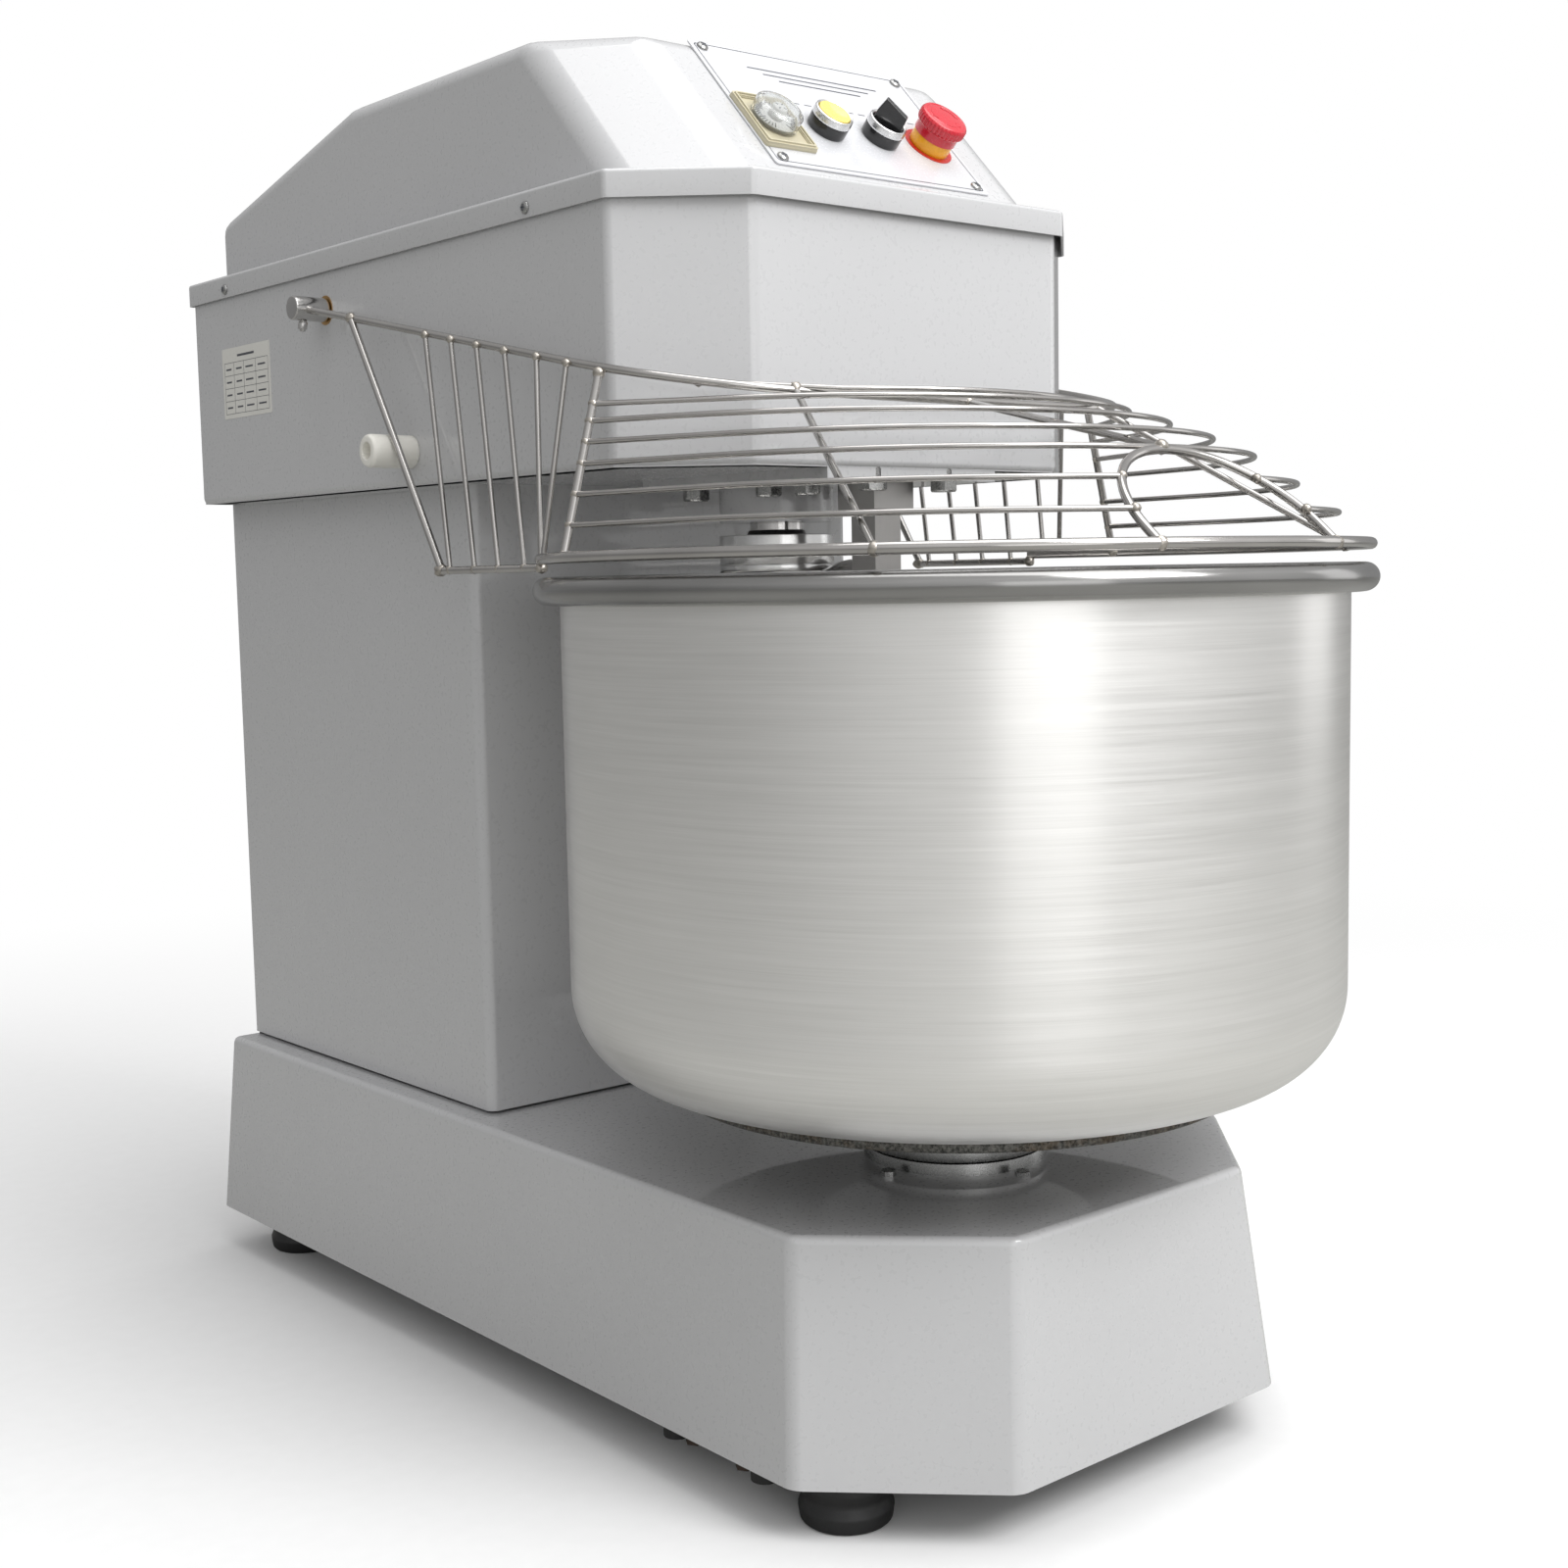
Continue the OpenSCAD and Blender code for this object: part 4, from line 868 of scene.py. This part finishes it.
def build_timer():
    bm = bmesh.new()
    m = at_panel(TIMER_U, TIMER_V)
    prism(bm, timer_outline(0), 0.0015, 0.0036, m)
    frame_rim(bm, timer_outline(0.0003), timer_outline(0.0042), 0.0034, 0.0056, m)
    frame_rim(bm, timer_outline(0.0016), timer_outline(0.0030), 0.0054, 0.0069, m)
    frame_rim(bm, timer_outline(0.0040), timer_outline(0.0048), 0.0034, 0.0046, m)
    prism(bm, rect(-0.0222, 0.0222, -0.0222, 0.0222, 0.001), -0.058, 0.0016, m)
    obj = mesh_object("timer_case", bm, smooth=False)
    soften(obj, 0.0003, 2)
    place(obj, "machine", M["beige"], slot="beige_plastic", replaces=["timer_body"])
    dome = rounded([(0.0182, 0.0052), (0.0190, 0.0052), (0.0190, 0.0150), (0.0160, 0.0172), (0, 0.0175)],
                   [0, 0.0003, 0.0014, 0.004, 0], 5, closed=False)
    shell = [(r * 0.93, z - 0.0008) for r, z in reversed(dome[2:])]
    turned("timer_dome", dome + shell + [dome[0]], "timer", M["clear"], matrix=m, segments=72,
           slot="dial_plastic", replaces=["timer_dial"])
    card = bmesh.new()
    lathe(card, [(0, 0.0062), (0.0166, 0.0062), (0.0166, 0.0070), (0.0120, 0.0074), (0, 0.0074)], m, 64)
    lathe(card, [(0, 0.0074), (0.0058, 0.0074), (0.0058, 0.0148), (0.0050, 0.0155), (0, 0.0155)], m, 40)
    sharp_piece("timer_card", card, 30, "timer", M["dial"], slot="dial_plastic")
    ticks = bmesh.new()
    for i in range(31):
        turn = m @ Matrix.Rotation(math.radians(-150 + 10 * i), 4, "Z")
        inner = 0.0125 if i % 5 else 0.0100
        prism(ticks, rect(-0.0003, 0.0003, inner, 0.0160), 0.0071, 0.0076, turn)
    for i in range(4):
        turn = m @ Matrix.Rotation(math.radians(45 + 90 * i), 4, "Z")
        prism(ticks, rect(-0.0006, 0.0006, 0.0022, 0.0046), 0.0154, 0.0156, turn)
    place(mesh_object("timer_ticks", ticks, smooth=False), "timer", M["ink"], slot="dial_plastic")


def build_operators():
    for u, name in ((START_U, "start"), (SELECTOR_U, "selector")):
        m = at_panel(u)
        bm = bmesh.new()
        base = rounded([(0, 0.0015), (0.0150, 0.0015), (0.0155, 0.0030), (0.0155, 0.0108), (0.0132, 0.0108),
                        (0.0131, 0.0076), (0, 0.0076)], [0, 0.0004, 0.0008, 0.0004, 0, 0, 0], 3)
        lathe(bm, base, m, 64)
        prism(bm, rect(-0.015, 0.015, -0.020, 0.020, 0.001), -0.052, -0.012, m)
        sharp_piece(name + "_base", bm, 32, "machine", M["black"], slot="black_plastic",
                    replaces=["operator_bases"])
        bezel = rounded([(0.0131, 0.0110), (0.0156, 0.0110), (0.0158, 0.0120), (0.0154, 0.0162),
                         (0.0142, 0.0170), (0.0131, 0.0160), (0.0131, 0.0110)],
                        [0, 0.0003, 0.0005, 0.0010, 0.0006, 0.0004, 0], 4)
        turned(name + "_bezel", bezel, "machine", M["bezel"], matrix=m, segments=72, slot="polished_steel",
               replaces=["operator_bezels"])


def build_start_cap():
    dish = [(0.0106 * (1 - i / 10), 0.0172 - 0.0020 * (1 - (1 - i / 10) ** 2)) for i in range(11)]
    edge = rounded([(0.0127, 0.0124), (0.0127, 0.0172), (0.0106, 0.0172)], [0.0003, 0.0006, 0.0003], 4,
                   closed=False)
    turned("start_cap", [(0, 0.0124)] + edge + dish, "start", M["yellow"], matrix=at_panel(START_U),
           segments=64, slot="yellow_plastic", replaces=["start_button"])


def build_selector():
    """Disc with a tall handle whose top slopes down from the pointing end."""
    m = at_panel(SELECTOR_U) @ Matrix.Rotation(math.radians(135), 4, "Z")
    bm = bmesh.new()
    disc = rounded([(0, 0.0090), (0.0127, 0.0090), (0.0127, 0.0138), (0, 0.0138)],
                   [0, 0.0003, 0.0008, 0], 4)
    lathe(bm, disc, m, 64)
    side = [(0.0117, 0.0136), (0.0117, 0.0210), (0.0094, 0.0318), (-0.0110, 0.0263), (-0.0117, 0.0136)]
    faces = []
    for across in (-1, 1):
        faces.append([bm.verts.new(m @ Vector((x, across * (0.0043 - 0.09 * (z - 0.0136)), z)))
                      for x, z in side])
    for i in range(len(side)):
        k = (i + 1) % len(side)
        bm.faces.new((faces[0][i], faces[0][k], faces[1][k], faces[1][i]))
    bm.faces.new(faces[0][::-1])
    bm.faces.new(faces[1])
    obj = mesh_object("selector_lever", bm)
    obj.data.set_sharp_from_angle(angle=math.radians(40))
    soften(obj, 0.0006, 2)
    even_normals(obj)
    place(obj, "selector", M["black"], slot="black_plastic", replaces=["selector_knob"])


def build_estop():
    m = at_panel(ESTOP_U)
    label = rounded([(0.0166, 0.0015), (0.0206, 0.0015), (0.0206, 0.0021), (0.0166, 0.0021)],
                    [0, 0, 0.0002, 0], 3)
    turned("stop_label", label + [label[0]], "machine", M["red_label"], matrix=m, segments=72,
           slot="red_label", replaces=["estop_label"])
    collar = bmesh.new()
    tube = rounded([(0.0083, 0.0015), (0.0162, 0.0015), (0.0165, 0.0030), (0.0165, 0.0122),
                    (0.0083, 0.0122), (0.0083, 0.0015)], [0, 0.0004, 0.0008, 0.0006, 0, 0], 3)
    lathe(collar, tube, m, 64)
    prism(collar, rect(-0.015, 0.015, -0.020, 0.020, 0.001), -0.052, -0.012, m)
    sharp_piece("stop_collar", collar, 32, "machine", M["orange"], slot="orange_plastic",
                replaces=["estop_collar"])
    head = bmesh.new()
    profile = rounded([(0.0083, 0.0254), (0.0083, 0.0187), (0.0169, 0.0187), (0.0169, 0.0119),
                       (0.0176, 0.0119), (0.0175, 0.0190), (0.0196, 0.0204), (0.0199, 0.0216), (0.0198, 0.0262),
                       (0.0184, 0.0281), (0.0164, 0.0286), (0.0160, 0.0281), (0.0130, 0.0287), (0.0, 0.0297)],
                      [0, 0, 0, 0.0003, 0.0003, 0.0015, 0.0006, 0.0008, 0.0012, 0.0012, 0.0003, 0.0003,
                       0.002, 0], 5, closed=False)

    def knurl(j, a):
        r, z = profile[j]
        if r < 0.0190 or not 0.0205 < z < 0.0275:
            return 0.0
        return -0.0007 * (0.5 + 0.5 * math.cos(math.radians(a * 36))) ** 2

    lathe(head, profile, m, 288, knurl)
    for i in range(3):
        turn_arrow(head, m, 120 * i)
    sharp_piece("stop_head", head, 60, "estop", M["red"], slot="red_plastic", replaces=["estop_head"])


def turn_arrow(bm, matrix, start):
    """Raised curved arrow on the stop head."""
    z = 0.0289
    m = matrix @ Matrix.Rotation(math.radians(start), 4, "Z")
    outline = [polar(0.0128, 8 * i) for i in range(9)]
    outline += [polar(0.0140, 64), polar(0.0114, 82), polar(0.0088, 64), polar(0.0100, 64)]
    outline += [polar(0.0100, 64 - 8 * i) for i in range(1, 9)]
    drop = [(0.0003 if p.length > 0.0115 else 0) for p in outline]
    low = [bm.verts.new(m @ Vector((*p, z - 0.0012 - d))) for p, d in zip(outline, drop)]
    high = [bm.verts.new(m @ Vector((*p, z + 0.0003 - d))) for p, d in zip(outline, drop)]
    band(bm, low, high)
    bm.faces.new(high)
    bm.faces.new(low[::-1])


build_plate()
build_timer()
build_operators()
build_start_cap()
build_selector()
build_estop()


# ---------- side of the head: label and bumpers ----------
def build_label():
    x = -0.2270
    low, high = (0.374, 0.778), (0.467, 0.840)
    side = Matrix(((0, 0, -1, x), (-1, 0, 0, 0), (0, 1, 0, 0), (0, 0, 0, 1)))
    film = bmesh.new()
    prism(film, rounded([(-low[0], high[1]), (-high[0], high[1]), (-high[0], low[1]), (-low[0], low[1])],
                        0.0015, 4), 0.0, 0.0003, side)
    place(mesh_object("rating_film", film, smooth=False), "machine", M["label"], slot="label_film",
          replaces=["rating_label"])
    lines = bmesh.new()
    w = 0.0004

    def bar(y0, y1, z0, z1):
        prism(lines, [(-y0, z1), (-y1, z1), (-y1, z0), (-y0, z0)], 0.0003, 0.00036, side)

    y0, y1, z0, z1 = low[0] + 0.004, high[0] - 0.004, low[1] + 0.004, high[1] - 0.013
    rows = 4
    for i in range(rows + 1):
        z = z0 + (z1 - z0) * i / rows
        bar(y0, y1, z - w / 2, z + w / 2)
    for part in (0, 0.22, 0.45, 0.72, 1):
        y = y1 + (y0 - y1) * part
        bar(y - w / 2, y + w / 2, z0, z1)
    for i in range(rows):
        z = z0 + (z1 - z0) * (i + 0.5) / rows
        for a, b in ((0.04, 0.16), (0.27, 0.40), (0.49, 0.66), (0.77, 0.94)):
            bar(y1 + (y0 - y1) * b, y1 + (y0 - y1) * a, z - 0.0009, z + 0.0006)
    bar(y0 + 0.026, y1 - 0.026, high[1] - 0.0085, high[1] - 0.0065)
    place(mesh_object("rating_rules", lines, smooth=False), "machine", M["ink"], slot="label_film")


def build_bumpers():
    bm = bmesh.new()
    profile = rounded([(0, -0.006), (0.004, -0.006), (0.004, 0.0), (0.0128, 0.0), (0.0130, 0.037),
                       (0.0115, 0.0395), (0.0068, 0.0400), (0.0064, 0.0300), (0, 0.0300)],
                      [0, 0.0005, 0, 0.001, 0.003, 0.002, 0.0007, 0.0004, 0], 4)
    for side in (-1, 1):
        m = Matrix.Translation((side * 0.227, 0.139, 0.730)) @ Matrix.Rotation(side * math.pi / 2, 4, "Y")
        lathe(bm, profile, m, 64)
    sharp_piece("nylon_stops", bm, 40, "machine", M["nylon"], slot="white_nylon",
                replaces=["guard_bumpers"])


build_label()
build_bumpers()


# ---------- wire guard ----------
STRUT_TOP = Vector((0.245, -0.143, 0.766))
STRUT_FOOT = Vector((0.278, -0.143, 0.643))
LEVELS = [
    (0.240, -0.322, 0.745, None),
    (0.246, -0.359, 0.7335, None),
    (0.232, -0.402, 0.7195, None),
    (0.240, -0.436, 0.705, None),
    (0.254, -0.469, 0.6845, (-0.079, 0.043)),
    (0.268, -0.500, 0.664, (-0.097, 0.057)),
]


def mirrored(points):
    return [(-p[0], p[1], p[2]) for p in points]


def arc(cy, r, z, a0, a1, step=2.0):
    n = max(2, math.ceil(abs(a1 - a0) / step))
    return [(*(Vector((0, cy)) + polar(r, a0 + (a1 - a0) * i / n)), z) for i in range(n + 1)]


def leave_angle(end, cy, r):
    v = Vector((end[0], end[1] - cy))
    return math.degrees(math.atan2(v.y, v.x) - math.acos(r / v.length))


def level_runs(r, front, z, gap, end):
    """One cage wire, or two where the chute opening cuts it."""
    cy = front + r
    a = leave_angle(end, cy, r)
    if not gap:
        return [[(-end[0], end[1], end[2])] + arc(cy, r, z, 180 - a, 360 + a) + [tuple(end)]]
    left = arc(cy, r, z, 180 - a, 360 - math.degrees(math.acos(gap[0] / r)))
    right = arc(cy, r, z, 360 - math.degrees(math.acos(gap[1] / r)), 360 + a)
    return [[(-end[0], end[1], end[2])] + left, right + [tuple(end)]]


def arm_z(y):
    return PIVOT.z - (PIVOT.y - y) * math.tan(ARM_TILT)


def arm_frame():
    return Matrix.Translation(PIVOT) @ Matrix.Rotation(ARM_TILT, 4, "X")


def arm_run():
    """The top rod: from one boss round the front to the other, in its tilted plane."""
    run, corner = 0.390, 0.130
    flat = [(ARM_X, 0.014), (ARM_X, -run)]
    flat += [tuple(Vector((ARM_X - corner, -run)) + polar(corner, -3 * i)) for i in range(1, 31)]
    flat += [(-x, y) for x, y in flat[::-1]]
    return [tuple(arm_frame() @ Vector((x, y, 0))) for x, y in flat]


def chute_run():
    r = 0.080
    m = (Matrix.Translation((-0.020, -0.509, RING_Z)) @ Matrix.Rotation(math.radians(-4), 4, "Z")
         @ Matrix.Rotation(math.radians(40.3), 4, "X"))
    flat = [(r, 0)] + [tuple(Vector((0, 0.014)) + polar(r, 4 * i)) for i in range(46)] + [(-r, 0)]
    return [tuple(m @ Vector((x, y, 0))) for x, y in flat]


def fan_runs():
    runs = []
    for top, low in ((0.073, 0.049), (0.037, 0.0145), (0.002, -0.018), (-0.035, -0.052)):
        runs.append([(0.250, top, arm_z(top) - 0.001), (0.250, low, 0.637)])
    for top, low in ((-0.0755, -0.084), (-0.112, -0.096)):
        x = math.sqrt(RING_R ** 2 - (low - BOWL_Y) ** 2)
        runs.append([(0.250, top, arm_z(top) - 0.001), (x, low, RING_Z)])
    return runs + [mirrored(r) for r in runs]


def build_guard():
    end = math.degrees(math.atan2(0.155, 0.250))
    wires("guard_ring", [arc(BOWL_Y, RING_R, RING_Z, 180 - end, 360 + end, 1.5)], 0.004, "guard", M["wire"],
          slot="polished_steel", replaces=["guard_frame"])
    side = [
        [tuple(STRUT_TOP), tuple(STRUT_FOOT)],
        [(0.250, -0.074, 0.6365), (0.250, 0.064, 0.6365)],
        [(0.249, 0.1875, 0.8367), (0.250, 0.0608, 0.637)],
    ]
    heavy = [arm_run(), chute_run()] + side + [mirrored(r) for r in side]
    wires("guard_arms", heavy, 0.003, "guard", M["wire"], slot="polished_steel")
    thin = []
    for r, front, z, gap in LEVELS:
        out = (STRUT_TOP.z - z) / 0.123 * 0.033
        thin += level_runs(r, front, z, gap, (STRUT_TOP.x + out, STRUT_TOP.y, z))
    thin += level_runs(0.230, -0.287, 0.752, None, (0.205, -0.200, 0.757))
    thin += fan_runs()
    wires("guard_wires", thin, 0.002, "guard", M["wire"], slot="polished_steel", replaces=["guard_cage"])
    ribs = [[(0.236, -0.402, RING_Z), (0.150, -0.234, 0.752)]]
    ribs += [mirrored(ribs[0]), [(0.008, -0.240, 0.749), (-0.017, -0.436, 0.705)]]
    wires("guard_ribs", ribs, 0.0025, "guard", M["wire"], slot="polished_steel")
    return thin, side


def bead(bm, p, r):
    """A weld: a small uneven blob."""
    made = bmesh.ops.create_icosphere(bm, subdivisions=2, radius=r, matrix=Matrix.Translation(p))
    for v in made["verts"]:
        v.co += (v.co - Vector(p)) * random.uniform(-0.10, 0.14)


def build_welds(thin, side):
    bm = bmesh.new()
    for run in thin:
        for p in (run[0], run[-1]):
            bead(bm, p, 0.0034)
    for run in side + [mirrored(r) for r in side]:
        for p in (run[0], run[-1]):
            bead(bm, p, 0.0044)
    for p in (chute_run()[0], chute_run()[-1], (0.236, -0.402, RING_Z), (-0.236, -0.402, RING_Z),
              (0.150, -0.234, 0.752), (-0.150, -0.234, 0.752), (0.008, -0.240, 0.749),
              (-0.017, -0.436, 0.705)):
        bead(bm, p, 0.0048)
    place(mesh_object("guard_beads", bm), "guard", M["weld"], slot="polished_steel")


def build_pivots():
    bm = bmesh.new()
    profile = rounded([(0.0061, 0), (0.0098, 0), (0.0098, 0.030), (0, 0.030)], [0, 0.0008, 0.0012, 0], 4,
                      closed=False)
    for side in (-1, 1):
        m = (Matrix.Translation((side * 0.228, PIVOT.y, PIVOT.z)) @ Matrix.Rotation(ARM_TILT, 4, "X")
             @ Matrix.Rotation(side * math.pi / 2, 4, "Y"))
        lathe(bm, profile, m, 64)
        low = (Matrix.Translation((side * ARM_X, PIVOT.y, PIVOT.z)) @ Matrix.Rotation(ARM_TILT, 4, "X")
               @ Matrix.Translation((0, 0, -0.0165)))
        hex_head(bm, low, 0.0075, 0.006, 0.005, 0.002)
        lathe(bm, [(0.0028, 0.005), (0.0028, 0.010)], low, 24)
    sharp_piece("guard_bosses", bm, 35, "guard", M["polished"], slot="polished_steel",
                replaces=["guard_pivots"])


build_welds(*build_guard())
build_pivots()


# ---------- floor and light ----------
def build_floor():
    """A pale floor that throws less light on the machine than it shows."""
    bm = bmesh.new()
    lathe(bm, [(0, 0), (30, 0)], segments=96)
    obj = mesh_object("floor", bm, smooth=False)
    bpy.context.collection.objects.link(obj)
    mat, tree, shader = material("pale_floor", (0.9, 0.9, 0.9), 0.8)
    fine = noise(tree, object_space(tree, (1, 1, 1)), 60, 3)
    pale = ramp(tree, fine, (0.895, 0.895, 0.895), (0.91, 0.91, 0.91))
    path = node(tree, "ShaderNodeLightPath")
    seen = node(tree, "ShaderNodeMix", {"Factor": path.outputs["Is Camera Ray"]}, data_type="RGBA")
    seen.inputs[6].default_value = (FLOOR_BOUNCE, FLOOR_BOUNCE, FLOOR_BOUNCE * 0.96, 1)
    tree.links.new(pale, seen.inputs[7])
    tree.links.new(seen.outputs[2], shader.inputs["Base Color"])
    shader.inputs["Specular IOR Level"].default_value = 0.1
    coords = node(tree, "ShaderNodeTexCoord")
    away = node(tree, "ShaderNodeVectorMath", {0: coords.outputs["Object"]}, operation="LENGTH")
    far = node(tree, "ShaderNodeMapRange", {"Value": away.outputs["Value"], "From Min": 0.9,
                                            "From Max": 2.6},
               interpolation_type="SMOOTHSTEP")
    glow = node(tree, "ShaderNodeMath", {0: far.outputs[0], 1: path.outputs["Is Camera Ray"]},
                operation="MULTIPLY")
    white = node(tree, "ShaderNodeEmission", {"Color": (1, 1, 1, 1), "Strength": BACKDROP})
    blend = node(tree, "ShaderNodeMixShader", {0: glow.outputs[0], 1: shader.outputs[0],
                                               2: white.outputs[0]})
    tree.links.new(blend.outputs[0], tree.nodes["Material Output"].inputs["Surface"])
    obj.data.materials.append(mat)


def area_light(name, place_at, look_at, size, power, colour=(1, 1, 1)):
    data = bpy.data.lights.new(name, "AREA")
    data.shape = "RECTANGLE"
    data.size, data.size_y = size
    data.energy = power
    data.color = colour
    obj = bpy.data.objects.new(name, data)
    bpy.context.collection.objects.link(obj)
    obj.location = place_at
    obj.rotation_euler = (Vector(look_at) - Vector(place_at)).to_track_quat("-Z", "Y").to_euler()


def studio_world():
    """A white backdrop. What it throws on the machine is brighter in front and overhead than behind."""
    world = bpy.data.worlds.new("studio")
    world.use_nodes = True
    tree = world.node_tree
    back = tree.nodes["Background"]
    coords = node(tree, "ShaderNodeTexCoord")
    towards = node(tree, "ShaderNodeVectorMath", {0: coords.outputs["Generated"], 1: WORLD_FRONT},
                   operation="DOT_PRODUCT")
    front = node(tree, "ShaderNodeMapRange", {"Value": towards.outputs["Value"], "From Min": -0.5,
                                              "From Max": 1.0,
                                              "To Min": WORLD_BACK, "To Max": WORLD_LIT},
                 interpolation_type="SMOOTHSTEP")
    parts = node(tree, "ShaderNodeSeparateXYZ", {"Vector": coords.outputs["Generated"]})
    rise = node(tree, "ShaderNodeMapRange", {"Value": parts.outputs["Z"], "From Min": 0.12,
                                             "From Max": 0.55,
                                             "To Min": 0.0, "To Max": WORLD_TOP},
                interpolation_type="SMOOTHSTEP")
    total = node(tree, "ShaderNodeMath", {0: front.outputs[0], 1: rise.outputs[0]}, operation="ADD")
    path = node(tree, "ShaderNodeLightPath")
    strength = node(tree, "ShaderNodeMix", {"Factor": path.outputs["Is Camera Ray"]})
    tree.links.new(total.outputs[0], strength.inputs[2])
    strength.inputs[3].default_value = BACKDROP
    tree.links.new(strength.outputs[0], back.inputs["Strength"])
    back.inputs["Color"].default_value = (1, 1, 1, 1)
    bpy.context.scene.world = world
    bpy.context.scene.view_settings.view_transform = "Standard"


build_floor()
studio_world()
area_light("key", (0.5, -2.9, 2.9), (0, -0.1, 0.5), (1.8, 1.6), 77)
area_light("strip", (-1.15, -3.5, 0.9), (0, -0.2, 0.5), (1.7, 1.6), 7)
area_light("fill", (3.4, -1.2, 1.2), (0, -0.1, 0.5), (1.2, 1.8), 5)
area_light("top", (0.3, -0.6, 3.4), (0, 0, 0.6), (2.6, 2.6), 47)
